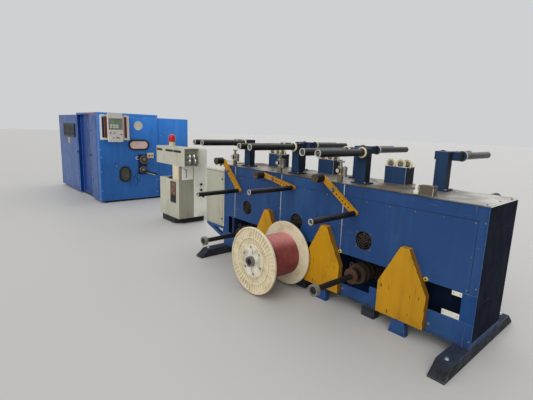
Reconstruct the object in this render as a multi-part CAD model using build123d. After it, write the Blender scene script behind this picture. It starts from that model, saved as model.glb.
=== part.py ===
# Wire bunching line: a six-reel pay-off bank, its control console, a spark
# tester with a tall cabinet, and a closed double-twist bunching machine.
# Millimetres, +Z up, X along the line, the working side faces -Y.
from build123d import *
import os

os.makedirs("parts", exist_ok=True)

# Running and seating clearances
RUNNING_FIT = 0.05
SEAT_GAP = 0.3

# Pay-off bank. X = 0 is its right end and Y = 0 the face of its front panels.
BANK_LENGTH = 3050
BANK_DEPTH = 580
BANK_TOP = 1142
BANK_BASE = 100
SHEET = 4
DECK_HEIGHT = 50
TOP_PLATE = 8
TOP_OVERHANG = 6
SPINE_THICKNESS = 20
DIVIDER_THICKNESS = 40
END_COLUMN_WIDTH = 100

# Feet of the bank
FOOT_WIDTH = 120
FOOT_HEIGHT = 100
FOOT_REACH = 380
FOOT_TOE_HEIGHT = 12
FOOT_TOE_RUN = 110
MID_FOOT_WIDTH = 130
MID_FOOT_DEPTH = 90

# Bays: each has a spindle, a guard, a fan grille, a dancer and a roller post
BAYS = 3
FIRST_SPINDLE_X = -1000
LAST_SPINDLE_FROM_LEFT = 418
REAR_FIRST_SPINDLE_X = -642
SPINDLE_HEIGHT = 350
DIVIDER_FROM_SPINDLE = -225

# Slots in the front and rear panels
SLOT_TOP = 505
SLOT_BOTTOM = 290
SLOT_DEEP_BOTTOM = 220
SLOT_DEEP_WIDTH = 300

# Fan grilles
FAN_RADIUS = 85
FAN_FROM_SPINDLE = 50
FAN_HEIGHT = 677
FAN_RINGS = 3
FAN_WIRE = 5
FAN_DEPTH = 8

# Spindles
JOURNAL_RADIUS = 30
SHAFT_RADIUS = 25
FACE_PLATE_RADIUS = 70
FACE_PLATE_THICKNESS = 14
FACE_PLATE_Y = -60
CLAMP_RADIUS = 50
CLAMP_LENGTH = 40
CLAMP_RING = 9
CLAMP_DEPTH = 7
CLAMP_NOTCHES = 4
CLAMP_NOTCH_WIDTH = 13
JOURNAL_LENGTH = 205
COLLAR_RADIUS = 55
COLLAR_GAP = 6
LATCH_THICKNESS = 9
LATCH_STEM = 12
LATCH_STEM_WIDTH = 14
LATCH_LOOP_RADIUS = 24
LATCH_LOOP_BORE = 15
DRUM_RADIUS = 90
DRUM_RIB = 8
DRUM_RIBS = 4
DRUM_START = 12
DRUM_COLLAR = 30

# Reel on the middle front spindle, counted from 0 at the right
REEL_BAY = 1
REEL_RADIUS = 330
REEL_WIDTH = 460
REEL_FLANGE = 26
REEL_FLANGE_WEB = 12
REEL_RIM = 14
REEL_RIM_CHAMFER = 4
REEL_RIBS = 48
REEL_RIB_THICKNESS = 5
REEL_RIB_INSET = 3
REEL_HUB_RADIUS = 165
REEL_RING_RADIUS = 222
REEL_RING_WIDTH = 12
REEL_DRIVE_HOLES = 6
REEL_DRIVE_HOLE_RADIUS = 16
REEL_DRIVE_CIRCLE = 130
REEL_DRIVE_START = 20
REEL_SLOT_LENGTH = 50
REEL_SLOT_WIDTH = 12
REEL_SLOT_CIRCLE = 88
REEL_BARREL_RADIUS = 158
REEL_BARREL_WALL = 12
WINDING_RADIUS = 215

# Yellow guards
GUARD_BEFORE_NEXT_SPINDLE = 146
GUARD_WIDTH = 410
GUARD_THICKNESS = 60
GUARD_BOTTOM = 130
GUARD_SHOULDER = 400
GUARD_TOP = 732
GUARD_PEAK_WIDTH = 70
GUARD_SHEET = 5
GUARD_FOOT_WIDTH = 150
GUARD_FOOT_DEPTH = 52
GUARD_FOOT_SLANT = 25

# Roller posts on the top plate
POST_FROM_SPINDLE = -112
POST_WIDTH = 100
POST_DEPTH = 80
POST_BACK_SET = 110
POST_FOOT_WIDTH = 150
POST_FOOT_DEPTH = 130
POST_FOOT_THICKNESS = 12
HEAD_LENGTH = 200
HEAD_HEIGHT = 70
HEAD_FRONT = 12
ROLLER_HEIGHT = 1435
ROLLER_SPACING = 160
ROLLER_RADIUS = 30
ROLLER_LENGTH = 570
ROLLER_RECESS = 10
ROLLER_RIM = 5
AXLE_RADIUS = 10
AXLE_FLANGE_RADIUS = 42
AXLE_FLANGE_THICKNESS = 14

# Dancers
PIVOT_FROM_SPINDLE = -280
PIVOT_HEIGHT = 1080
PIVOT_RADIUS = 12
PIVOT_BOSS_RADIUS = 32
PIVOT_BOSS_LENGTH = 12
PIVOT_CAP_RADIUS = 20
PIVOT_CAP_THICKNESS = 8
ARM_SHEET = 5
ARM_WIDTH = 44
ARM_FRONT_REACH = 320
ARM_REAR_REACH = 190
ARM_HUB_RADIUS = 26
ARM_HUB_LENGTH = 40
ARM_HOLES = 5
ARM_HOLE_RADIUS = 9
ARM_HOLE_PITCH = 42
ARM_FIRST_HOLE = 55
ARM_ANGLES = (35, 10, 45)
REAR_ARM_ANGLES = (35, 10, 10)
WEIGHT_RADIUS = 40
WEIGHT_LENGTH = 95
DANCER_ROLLER_RADIUS = 25
DANCER_ROLLER_LENGTH = 550
DANCER_AXLE_RADIUS = 8

# Boxes, regulators and pulleys on the top plate
TENSION_BOX_WIDTH = 210
TENSION_BOX_DEPTH = 150
TENSION_BOX_HEIGHT = 158
TENSION_BOX_FROM_SPINDLE = 158
TENSION_BOX_WALL = 4
TENSION_BOX_BACK_SET = 20
REGULATOR_FROM_SPINDLE = -300
REGULATOR_Y = 70
REGULATOR_RADIUS = 26
REGULATOR_BODY = 80
REGULATOR_STAND = 60
REGULATOR_STAND_WIDTH = 50
REGULATOR_STAND_DEPTH = 24
REGULATOR_STEM_RADIUS = 14
REGULATOR_STEM = 44
REGULATOR_HANDLE = (70, 16, 14)
BOWL_RADIUS = 22
BOWL_HEIGHT = 90
BOWL_OFFSET = 46
JUNCTION_BOX_WIDTH = 110
JUNCTION_BOX_DEPTH = 70
JUNCTION_BOX_HEIGHT = 72
JUNCTION_BOX_FROM_END = 510
JUNCTION_BOX_Y = 15

# Console at the left end of the bank
CONSOLE_WIDTH = 410
CONSOLE_DEPTH = 340
CONSOLE_BOTTOM = 340
CONSOLE_FRONT_TOP = 1070
CONSOLE_PEAK = 1160
CONSOLE_PEAK_DEPTH = 190
CONSOLE_KNOBS = 3
CONSOLE_KNOB_RADIUS = 16
CONSOLE_KNOB_HEIGHT = 24
CONSOLE_GAP = 12
BRACKET_WIDTH = 50
BRACKET_FRONT = 10
BRACKET_DROP = 160
BRACKET_RAIL = 40
BRACKET_SHANK = 45
BRACKET_TIP = 130

# Spark tester, X and Y from the bank's own corner
TESTER_RIGHT = -4580
TESTER_WIDTH = 670
TESTER_FRONT = 175
TESTER_DEPTH = 275
TESTER_BOTTOM = 100
TESTER_TOP = 735
PLINTH_INSET = 80
PLINTH_CHAMFER = 150
COLUMN_WIDTH = 210
HEAD_BOX_LEFT = -5370
HEAD_BOX_RIGHT = -4400
HEAD_BOX_BOTTOM = 975
HEAD_BOX_TOP = 1265
HEAD_BOX_WALL = 12
HEAD_MOUTH_DEPTH = 60
BEACON_RADIUS = 58
BEACON_HEIGHT = 200
BEACON_BASE = 75
BEACON_BASE_RADIUS = 50
BEACON_X = -5060
TRAY_THICKNESS = 18
TRAY_MARGIN = 10
TALL_CABINET_DEPTH = 250
TALL_CABINET_TOP = 1240

# Bunching machine
BUNCHER_RIGHT = -6980
BUNCHER_LENGTH = 3050
BUNCHER_FRONT = -273
BUNCHER_DEPTH = 1983
BUNCHER_HEIGHT = 1780
BUNCHER_MAIN_DEPTH = 1235
BUNCHER_STEP = 22
BUNCHER_RECESS_START = 570
BUNCHER_RECESS_LENGTH = 880
BUNCHER_RECESS_DEPTH = 80
BUNCHER_SKIRT = 40
SKIRT_INSET = 30
SKIRT_BEHIND_RECESS = 10
CANOPY_HEIGHT = 40
CANOPY_LENGTH = 1500
LOUVRE_FROM_RIGHT = 1640
LOUVRE_WIDTH = 900
LOUVRE_BOTTOM = 1290
LOUVRE_HEIGHT = 280
LOUVRE_DEPTH = 20
LOUVRE_FRAME = 25
LOUVRE_SLOTS = 7
LOUVRE_SLOT_HEIGHT = 14
LOUVRE_SLOT_DEPTH = 12


def block(x0, x1, y0, y1, z0, z1):
    """A box between two corners."""
    size = Box(x1 - x0, y1 - y0, z1 - z0, align=(Align.MIN, Align.MIN, Align.MIN))
    return Pos(x0, y0, z0) * size


def rod(x, z, y0, y1, radius):
    """A cylinder along Y from y0 to y1."""
    length = abs(y1 - y0)
    middle = (y0 + y1) / 2
    return Pos(x, middle, z) * Rot(90, 0, 0) * Cylinder(radius, length)


def tube(x, z, y0, y1, radius, bore):
    """A bored cylinder along Y."""
    return rod(x, z, y0, y1, radius) - rod(x, z, y0 - 1, y1 + 1, bore)


def profile_along_y(points, y0, y1):
    """A prism along Y from an outline of (x, z) points."""
    outline = Polyline(*[(x, y0, z) for x, z in points], close=True)
    return extrude(make_face(outline), amount=y1 - y0, dir=(0, 1, 0))


def profile_along_x(points, x0, x1):
    """A prism along X from an outline of (y, z) points."""
    outline = Polyline(*[(x0, y, z) for y, z in points], close=True)
    return extrude(make_face(outline), amount=x1 - x0, dir=(1, 0, 0))


def solids_of(shapes):
    """One compound of separate pieces."""
    pieces = []
    for shape in shapes:
        pieces.extend(shape.solids())
    return Compound(pieces)


BAY_PITCH = (BANK_LENGTH + FIRST_SPINDLE_X - LAST_SPINDLE_FROM_LEFT) / (BAYS - 1)


def bay_x(index):
    """X of a front bay's spindle, the first bay at the right."""
    return FIRST_SPINDLE_X - index * BAY_PITCH


BANK_MIDDLE_X = -BANK_LENGTH / 2
BANK_MIDDLE_Y = BANK_DEPTH / 2
REAR_SHIFT = REAR_FIRST_SPINDLE_X - (-BANK_LENGTH - bay_x(BAYS - 1))


def to_rear(shape):
    """The same piece turned half a circle to serve the rear side."""
    turned = shape.rotate(Axis((BANK_MIDDLE_X, BANK_MIDDLE_Y, 0), (0, 0, 1)), 180)
    return Pos(REAR_SHIFT, 0, 0) * turned


def foot_beam(x0):
    """One cross foot with a slanted toe at each end."""
    low = -FOOT_REACH
    high = BANK_DEPTH + FOOT_REACH
    outline = [
        (low, 0),
        (high, 0),
        (high, FOOT_TOE_HEIGHT),
        (high - FOOT_TOE_RUN, FOOT_HEIGHT),
        (low + FOOT_TOE_RUN, FOOT_HEIGHT),
        (low, FOOT_TOE_HEIGHT),
    ]
    return profile_along_x(outline, x0, x0 + FOOT_WIDTH)


def mid_feet():
    """Short feet under the deck, one pair below each front spindle."""
    feet = []
    for index in range(BAYS):
        x = bay_x(index) + SLOT_DEEP_WIDTH / 2
        for y in (SHEET, BANK_DEPTH - SHEET - MID_FOOT_DEPTH):
            foot = block(x - MID_FOOT_WIDTH / 2, x + MID_FOOT_WIDTH / 2, y, y + MID_FOOT_DEPTH, 0, BANK_BASE)
            feet.append(foot)
    return feet


def bank_base():
    """Base deck, a closed welded pan, on its cross feet and short feet."""
    base = block(-BANK_LENGTH, 0, SHEET, BANK_DEPTH - SHEET, BANK_BASE, BANK_BASE + DECK_HEIGHT)
    base += foot_beam(-FOOT_WIDTH)
    base += foot_beam(-BANK_LENGTH - FOOT_WIDTH / 2)
    for foot in mid_feet():
        base += foot
    return base


def rear_bay_x(index):
    """X of a rear bay's spindle, the first bay at the right."""
    return REAR_FIRST_SPINDLE_X - index * BAY_PITCH


def front_bays():
    """X of the front spindles."""
    return [bay_x(index) for index in range(BAYS)]


def rear_bays():
    """X of the rear spindles."""
    return [rear_bay_x(index) for index in range(BAYS)]


def upper_panel(y0, fans):
    """Sheet above the slots, with a round hole at each fan."""
    panel = block(-BANK_LENGTH, 0, y0, y0 + SHEET, SLOT_TOP, BANK_TOP)
    for x in fans:
        panel -= rod(x, FAN_HEIGHT, y0 - 1, y0 + SHEET + 1, FAN_RADIUS)
    return panel


def lower_panel(y0, spindles):
    """Sheet below the slots, lower in front of each spindle."""
    panel = block(-BANK_LENGTH, 0, y0, y0 + SHEET, BANK_BASE, SLOT_BOTTOM)
    half = SLOT_DEEP_WIDTH / 2
    for x in spindles:
        panel -= block(x - half, x + half, y0 - 1, y0 + SHEET + 1, SLOT_DEEP_BOTTOM, SLOT_BOTTOM + 1)
    return panel


def upright(x0, x1, inner_y, face_y):
    """Inner wall behind a panel, filling the slot's height out to the panel's skin."""
    floor = BANK_BASE + DECK_HEIGHT
    back_y = SHEET if face_y == 0 else BANK_DEPTH - SHEET
    wall = block(x0, x1, min(inner_y, back_y), max(inner_y, back_y), floor, BANK_TOP)
    skin = block(x0, x1, min(back_y, face_y), max(back_y, face_y), SLOT_BOTTOM, SLOT_TOP)
    return wall + skin


def end_frame(x0, x1, wall_x):
    """One end wall with its two corner columns."""
    floor = BANK_BASE + DECK_HEIGHT
    depth = DIVIDER_THICKNESS
    frame = block(wall_x, wall_x + SHEET, SHEET, BANK_DEPTH - SHEET, floor, BANK_TOP)
    frame += upright(x0, x1, SHEET + depth, 0)
    frame += upright(x0, x1, BANK_DEPTH - SHEET - depth, BANK_DEPTH)
    return frame


def end_frames():
    """Both ends of the bank."""
    left = end_frame(-BANK_LENGTH, -BANK_LENGTH + END_COLUMN_WIDTH, -BANK_LENGTH)
    right = end_frame(-END_COLUMN_WIDTH, 0, -SHEET)
    return solids_of([left, right])


def bay_dividers():
    """Inner walls between the bays, seen through the slots."""
    half = DIVIDER_THICKNESS / 2
    spine_half = SPINE_THICKNESS / 2
    walls = []
    for x in front_bays():
        middle = x + DIVIDER_FROM_SPINDLE
        walls.append(upright(middle - half, middle + half, BANK_MIDDLE_Y - spine_half, 0))
    for x in rear_bays():
        middle = x - DIVIDER_FROM_SPINDLE
        walls.append(upright(middle - half, middle + half, BANK_MIDDLE_Y + spine_half, BANK_DEPTH))
    return solids_of(walls)


def spine_wall():
    """Wall along the middle of the bank that carries the spindle drums."""
    y = BANK_MIDDLE_Y
    half = SPINE_THICKNESS / 2
    return block(-BANK_LENGTH + SHEET, -SHEET, y - half, y + half, BANK_BASE + DECK_HEIGHT, BANK_TOP)


def top_plate():
    """Worn steel plate over the whole bank."""
    lip = TOP_OVERHANG
    return block(-BANK_LENGTH - lip, lip, -lip, BANK_DEPTH + lip, BANK_TOP, BANK_TOP + TOP_PLATE)


def fan_grille(x):
    """Concentric wire guard of one bay's fan, in its round hole."""
    outer = FAN_RADIUS - SEAT_GAP
    y0 = 0
    y1 = FAN_DEPTH
    grille = tube(x, FAN_HEIGHT, y0, y1, outer, outer - FAN_WIRE)
    step = (outer - FAN_WIRE) / (FAN_RINGS + 1)
    for ring in range(1, FAN_RINGS + 1):
        radius = outer - ring * step
        grille += tube(x, FAN_HEIGHT, y0, y1, radius, radius - FAN_WIRE)
    middle = Pos(x, (y0 + y1) / 2, FAN_HEIGHT)
    level_bar = middle * Box(2 * outer - FAN_WIRE, y1 - y0, FAN_WIRE)
    plumb_bar = middle * Box(FAN_WIRE, y1 - y0, 2 * outer - FAN_WIRE)
    return grille + level_bar + plumb_bar


def spindle_drum(x):
    """Ribbed bearing drum on the spine wall, bored for one spindle."""
    y0 = DRUM_START
    y1 = BANK_MIDDLE_Y - SPINE_THICKNESS / 2
    drum = rod(x, SPINDLE_HEIGHT, y0, y1, DRUM_RADIUS - DRUM_RIB)
    pitch = (y1 - y0) / DRUM_RIBS
    for rib in range(DRUM_RIBS):
        start = y0 + rib * pitch
        drum += rod(x, SPINDLE_HEIGHT, start, start + pitch / 2, DRUM_RADIUS)
    drum += rod(x, SPINDLE_HEIGHT, y1 - DRUM_COLLAR, y1, DRUM_RADIUS + DRUM_RIB)
    bore = JOURNAL_RADIUS + RUNNING_FIT
    return drum - rod(x, SPINDLE_HEIGHT, y0 - 1, DRUM_START + JOURNAL_LENGTH + SEAT_GAP, bore)


REEL_REAR = FACE_PLATE_Y - FACE_PLATE_THICKNESS - SEAT_GAP
REEL_FRONT = REEL_REAR - REEL_WIDTH
CLAMP_BACK = REEL_FRONT - SEAT_GAP
CLAMP_FRONT = CLAMP_BACK - CLAMP_LENGTH


def face_plate(x):
    """Round plate that a reel seats against."""
    return rod(x, SPINDLE_HEIGHT, FACE_PLATE_Y - FACE_PLATE_THICKNESS, FACE_PLATE_Y, FACE_PLATE_RADIUS)


def latch_lever(x):
    """Upright loop lever that stands on the rim of the face plate."""
    y0 = FACE_PLATE_Y - LATCH_THICKNESS
    loop_z = SPINDLE_HEIGHT + FACE_PLATE_RADIUS + LATCH_STEM + LATCH_LOOP_RADIUS
    half = LATCH_STEM_WIDTH / 2
    lever = block(x - half, x + half, y0, FACE_PLATE_Y, SPINDLE_HEIGHT, loop_z - LATCH_LOOP_RADIUS + half)
    return lever + tube(x, loop_z, y0, FACE_PLATE_Y, LATCH_LOOP_RADIUS, LATCH_LOOP_BORE) - face_plate(x)


def clamp_hub(x):
    """Round clamp at the free end, its sunk face inside a notched ring."""
    z = SPINDLE_HEIGHT
    sunk_y = CLAMP_FRONT + CLAMP_DEPTH
    hub = rod(x, z, CLAMP_FRONT, CLAMP_BACK, CLAMP_RADIUS)
    hub -= rod(x, z, CLAMP_FRONT - 1, sunk_y, CLAMP_RADIUS - CLAMP_RING)
    notch = Box(CLAMP_NOTCH_WIDTH, CLAMP_DEPTH + 1, 3 * CLAMP_RING)
    for index in range(CLAMP_NOTCHES):
        turn = Rot(0, (index + 0.5) * 360 / CLAMP_NOTCHES, 0)
        hub -= Pos(x, sunk_y - (CLAMP_DEPTH + 1) / 2, z) * turn * Pos(0, 0, CLAMP_RADIUS) * notch
    return hub


def spindle(x):
    """Cantilever spindle: journal, collar, face plate, shaft and clamp hub."""
    z = SPINDLE_HEIGHT
    journal = rod(x, z, FACE_PLATE_Y, DRUM_START + JOURNAL_LENGTH, JOURNAL_RADIUS)
    collar = rod(x, z, FACE_PLATE_Y, DRUM_START - COLLAR_GAP, COLLAR_RADIUS)
    shaft = rod(x, z, (CLAMP_FRONT + CLAMP_BACK) / 2, FACE_PLATE_Y - FACE_PLATE_THICKNESS / 2, SHAFT_RADIUS)
    return journal + collar + face_plate(x) + shaft + clamp_hub(x)


def flange_section():
    """Half section of a flange as (depth, radius) points, depth 0 at its outer face."""
    bore = SHAFT_RADIUS + SEAT_GAP
    web = REEL_FLANGE - REEL_FLANGE_WEB
    ring_outer = REEL_RING_RADIUS + REEL_RING_WIDTH
    rim = REEL_RADIUS - REEL_RIM
    return [
        (0, bore),
        (0, REEL_HUB_RADIUS),
        (web, REEL_HUB_RADIUS),
        (web, REEL_RING_RADIUS),
        (0, REEL_RING_RADIUS),
        (0, ring_outer),
        (web, ring_outer),
        (web, rim),
        (0, rim),
        (0, REEL_RADIUS - REEL_RIM_CHAMFER),
        (REEL_RIM_CHAMFER, REEL_RADIUS),
        (REEL_FLANGE - REEL_RIM_CHAMFER, REEL_RADIUS),
        (REEL_FLANGE, REEL_RADIUS - REEL_RIM_CHAMFER),
        (REEL_FLANGE, bore),
    ]


def reel_flange():
    """Moulded flange about the Y axis: hub plate, ring and rim joined by thin radial ribs."""
    outline = Polyline(*[(radius, depth, 0) for depth, radius in flange_section()], close=True)
    flange = revolve(make_face(outline), axis=Axis.Y, revolution_arc=360)
    inner = REEL_HUB_RADIUS - REEL_RIM / 2
    outer = REEL_RADIUS - REEL_RIM / 2
    depth = REEL_FLANGE - REEL_FLANGE_WEB / 2 - REEL_RIB_INSET
    rib = Pos((inner + outer) / 2, REEL_RIB_INSET + depth / 2, 0) * Box(outer - inner, depth, REEL_RIB_THICKNESS)
    ribs = [Rot(0, index * 360 / REEL_RIBS, 0) * rib for index in range(REEL_RIBS)]
    flange = flange.fuse(*ribs)
    for hole in range(REEL_DRIVE_HOLES):
        turn = Rot(0, REEL_DRIVE_START + hole * 360 / REEL_DRIVE_HOLES, 0)
        flange -= turn * rod(REEL_DRIVE_CIRCLE, 0, -1, REEL_FLANGE + 1, REEL_DRIVE_HOLE_RADIUS)
    for side in (-1, 1):
        slot = Box(REEL_SLOT_WIDTH, 2 * REEL_FLANGE + 2, REEL_SLOT_LENGTH)
        flange -= Pos(0, REEL_FLANGE / 2, side * REEL_SLOT_CIRCLE) * slot
    return flange


def reel_flanges(x):
    """Front flange and its mirror image at the face plate."""
    flange = reel_flange()
    front = Pos(x, REEL_FRONT, SPINDLE_HEIGHT) * flange
    rear = Pos(x, REEL_REAR, SPINDLE_HEIGHT) * flange.mirror(Plane.XZ)
    return [front, rear]


def reel_barrel(x):
    """Barrel tube between the flanges."""
    y0 = REEL_FRONT + REEL_FLANGE
    y1 = REEL_REAR - REEL_FLANGE
    return tube(x, SPINDLE_HEIGHT, y0, y1, REEL_BARREL_RADIUS, REEL_BARREL_RADIUS - REEL_BARREL_WALL)


def reel_winding(x):
    """The full width of wound wire between the flanges."""
    y0 = REEL_FRONT + REEL_FLANGE + SEAT_GAP
    y1 = REEL_REAR - REEL_FLANGE - SEAT_GAP
    return tube(x, SPINDLE_HEIGHT, y0, y1, WINDING_RADIUS, REEL_BARREL_RADIUS + SEAT_GAP)


def guard_x(spindle_x):
    """X of the middle of the guard at the right of a spindle, short of the next one."""
    return spindle_x + BAY_PITCH - GUARD_BEFORE_NEXT_SPINDLE - GUARD_WIDTH / 2


def guard(x):
    """Folded yellow guard in front of a slot, open at its back."""
    half = GUARD_WIDTH / 2
    peak = GUARD_PEAK_WIDTH / 2
    outline = [
        (x - half, GUARD_BOTTOM),
        (x + half, GUARD_BOTTOM),
        (x + half, GUARD_SHOULDER),
        (x + peak, GUARD_TOP),
        (x - peak, GUARD_TOP),
        (x - half, GUARD_SHOULDER),
    ]
    skin = profile_along_y(outline, -GUARD_THICKNESS, 0)
    inner_half = half - GUARD_SHEET
    inner_peak = peak - GUARD_SHEET / 2
    inner = [
        (x - inner_half, GUARD_BOTTOM + GUARD_SHEET),
        (x + inner_half, GUARD_BOTTOM + GUARD_SHEET),
        (x + inner_half, GUARD_SHOULDER - GUARD_SHEET),
        (x + inner_peak, GUARD_TOP - 2 * GUARD_SHEET),
        (x - inner_peak, GUARD_TOP - 2 * GUARD_SHEET),
        (x - inner_half, GUARD_SHOULDER - GUARD_SHEET),
    ]
    return skin - profile_along_y(inner, -GUARD_THICKNESS + GUARD_SHEET, 1)


def guard_foot(x):
    """Blue foot under a guard, against the panel's lower edge, wider at the floor."""
    half = GUARD_FOOT_WIDTH / 2
    shoulder = half - GUARD_FOOT_SLANT
    outline = [(x - half, 0), (x + half, 0), (x + shoulder, GUARD_BOTTOM), (x - shoulder, GUARD_BOTTOM)]
    return profile_along_y(outline, -GUARD_FOOT_DEPTH, 0)


def roller_post(x):
    """Post with a foot flange and a cross head that holds two dead axles."""
    y = POST_BACK_SET + POST_DEPTH / 2
    base = BANK_TOP + TOP_PLATE
    head_top = ROLLER_HEIGHT + HEAD_HEIGHT / 2
    post = block(
        x - POST_WIDTH / 2, x + POST_WIDTH / 2, POST_BACK_SET, POST_BACK_SET + POST_DEPTH, base, head_top
    )
    flange = block(
        x - POST_FOOT_WIDTH / 2,
        x + POST_FOOT_WIDTH / 2,
        y - POST_FOOT_DEPTH / 2,
        y + POST_FOOT_DEPTH / 2,
        base,
        base + POST_FOOT_THICKNESS,
    )
    head = block(
        x - HEAD_LENGTH / 2,
        x + HEAD_LENGTH / 2,
        HEAD_FRONT,
        POST_BACK_SET,
        head_top - HEAD_HEIGHT,
        head_top,
    )
    post += flange + head
    for side in (-1, 1):
        axle_x = x + side * ROLLER_SPACING / 2
        flange_front = HEAD_FRONT - AXLE_FLANGE_THICKNESS
        tip = flange_front - SEAT_GAP - ROLLER_LENGTH + ROLLER_RECESS
        post += rod(axle_x, ROLLER_HEIGHT, flange_front, HEAD_FRONT, AXLE_FLANGE_RADIUS)
        post += rod(axle_x, ROLLER_HEIGHT, tip, flange_front, AXLE_RADIUS)
    return post


def guide_roller(x):
    """One black roller tube with a raised rim at its free end."""
    y1 = HEAD_FRONT - AXLE_FLANGE_THICKNESS - SEAT_GAP
    y0 = y1 - ROLLER_LENGTH
    roller = tube(x, ROLLER_HEIGHT, y0, y1, ROLLER_RADIUS, AXLE_RADIUS + RUNNING_FIT)
    recess = rod(x, ROLLER_HEIGHT, y0 - 1, y0 + ROLLER_RECESS, ROLLER_RADIUS - ROLLER_RIM)
    return roller - recess


ARM_BACK = -PIVOT_BOSS_LENGTH - ARM_HUB_LENGTH - SEAT_GAP


def dancer_pivot(x):
    """Boss, pin and cap on the front panel that carry one dancer arm."""
    boss = rod(x, PIVOT_HEIGHT, -PIVOT_BOSS_LENGTH, 0, PIVOT_BOSS_RADIUS)
    pin_front = ARM_BACK - SEAT_GAP - PIVOT_CAP_THICKNESS
    boss += rod(x, PIVOT_HEIGHT, pin_front, 0, PIVOT_RADIUS)
    cap = rod(x, PIVOT_HEIGHT, pin_front, pin_front + PIVOT_CAP_THICKNESS, PIVOT_CAP_RADIUS)
    return boss + cap


def arm_outline(inset):
    """Round-ended outline of the arm about its pivot, drawn in a plane across Y."""
    length = ARM_FRONT_REACH + ARM_REAR_REACH - 2 * inset
    width = ARM_WIDTH - 2 * inset
    return SlotOverall(length, width)


def arm_channel(y0, y1):
    """Pressed channel open at its back, with a row of holes in its web."""
    middle = (ARM_FRONT_REACH - ARM_REAR_REACH) / 2
    front = Plane(origin=(middle, y0, 0), x_dir=(1, 0, 0), z_dir=(0, 1, 0))
    web_back = Plane(origin=(middle, y0 + ARM_SHEET, 0), x_dir=(1, 0, 0), z_dir=(0, 1, 0))
    channel = extrude(front * arm_outline(0), amount=y1 - y0, dir=(0, 1, 0))
    channel -= extrude(web_back * arm_outline(ARM_SHEET), amount=y1 - y0, dir=(0, 1, 0))
    for hole in range(ARM_HOLES):
        hole_x = ARM_FIRST_HOLE + ARM_HOLE_PITCH * hole
        channel -= rod(hole_x, 0, y0 - 1, y0 + ARM_SHEET + 1, ARM_HOLE_RADIUS)
    return channel


def dancer_arm(x, angle):
    """Channel arm with its hub, round counterweight and the axle of its roller."""
    y1 = -PIVOT_BOSS_LENGTH - SEAT_GAP
    y0 = ARM_BACK
    arm = arm_channel(y0, y1) + rod(0, 0, y0, y1, ARM_HUB_RADIUS)
    arm -= rod(0, 0, y0 - 1, y1 + 1, PIVOT_RADIUS + RUNNING_FIT)
    axle_x = ARM_FRONT_REACH - ARM_WIDTH / 2
    axle_tip = y0 - SEAT_GAP - DANCER_ROLLER_LENGTH + ROLLER_RECESS
    arm += rod(axle_x, 0, axle_tip, y1, DANCER_AXLE_RADIUS)
    arm += rod(-ARM_REAR_REACH + ARM_WIDTH / 2, 0, y0 - WEIGHT_LENGTH, y0, WEIGHT_RADIUS)
    return Pos(x, 0, PIVOT_HEIGHT) * Rot(0, angle, 0) * arm


def dancer_roller(x, angle):
    """Black roller tube at the long end of the arm."""
    y1 = ARM_BACK - SEAT_GAP
    y0 = y1 - DANCER_ROLLER_LENGTH
    axle_x = ARM_FRONT_REACH - ARM_WIDTH / 2
    roller = tube(axle_x, 0, y0, y1, DANCER_ROLLER_RADIUS, DANCER_AXLE_RADIUS + RUNNING_FIT)
    roller -= rod(axle_x, 0, y0 - 1, y0 + ROLLER_RECESS, DANCER_ROLLER_RADIUS - ROLLER_RIM)
    return Pos(x, 0, PIVOT_HEIGHT) * Rot(0, angle, 0) * roller


def tension_box(x):
    """Open-topped sheet box on the top plate."""
    base = BANK_TOP + TOP_PLATE
    rim = base + TENSION_BOX_HEIGHT
    x1 = x + TENSION_BOX_WIDTH
    y1 = BANK_DEPTH - TENSION_BOX_BACK_SET
    y0 = y1 - TENSION_BOX_DEPTH
    wall = TENSION_BOX_WALL
    box = block(x, x1, y0, y1, base, rim)
    return box - block(x + wall, x1 - wall, y0 + wall, y1 - wall, base + wall, rim + 1)


def air_regulator(x):
    """Air regulator: body, T handle on top and a bowl beside it."""
    base = BANK_TOP + TOP_PLATE
    y = REGULATOR_Y
    half = REGULATOR_STAND_WIDTH / 2
    deep = REGULATOR_STAND_DEPTH / 2
    body_top = base + REGULATOR_STAND + REGULATOR_BODY
    stem_top = body_top + REGULATOR_STEM
    standing = (Align.CENTER, Align.CENTER, Align.MIN)
    hanging = (Align.CENTER, Align.CENTER, Align.MAX)
    piece = block(x - half, x + half, y - deep, y + deep, base, base + REGULATOR_STAND)
    piece += Pos(x, y, body_top) * Cylinder(REGULATOR_RADIUS, REGULATOR_BODY, align=hanging)
    piece += Pos(x, y, body_top) * Cylinder(REGULATOR_STEM_RADIUS, REGULATOR_STEM, align=standing)
    piece += Pos(x, y, stem_top) * Box(*REGULATOR_HANDLE)
    piece += Pos(x + BOWL_OFFSET, y, body_top) * Cylinder(BOWL_RADIUS, BOWL_HEIGHT, align=hanging)
    bridge_bottom = body_top - REGULATOR_STEM_RADIUS * 2
    piece += block(x, x + BOWL_OFFSET, y - deep / 2, y + deep / 2, bridge_bottom, body_top)
    return piece


def junction_box():
    """Small grey box on the front edge of the top plate."""
    base = BANK_TOP + TOP_PLATE
    x = -JUNCTION_BOX_FROM_END
    y = JUNCTION_BOX_Y
    return block(x, x + JUNCTION_BOX_WIDTH, y, y + JUNCTION_BOX_DEPTH, base, base + JUNCTION_BOX_HEIGHT)


def console_housing():
    """Console cabinet with a sloped control face."""
    x1 = -BANK_LENGTH - CONSOLE_GAP
    x0 = x1 - CONSOLE_WIDTH
    outline = [
        (0, CONSOLE_BOTTOM),
        (CONSOLE_DEPTH, CONSOLE_BOTTOM),
        (CONSOLE_DEPTH, CONSOLE_PEAK),
        (CONSOLE_PEAK_DEPTH, CONSOLE_PEAK),
        (0, CONSOLE_FRONT_TOP),
    ]
    return profile_along_x(outline, x0, x1)


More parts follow.
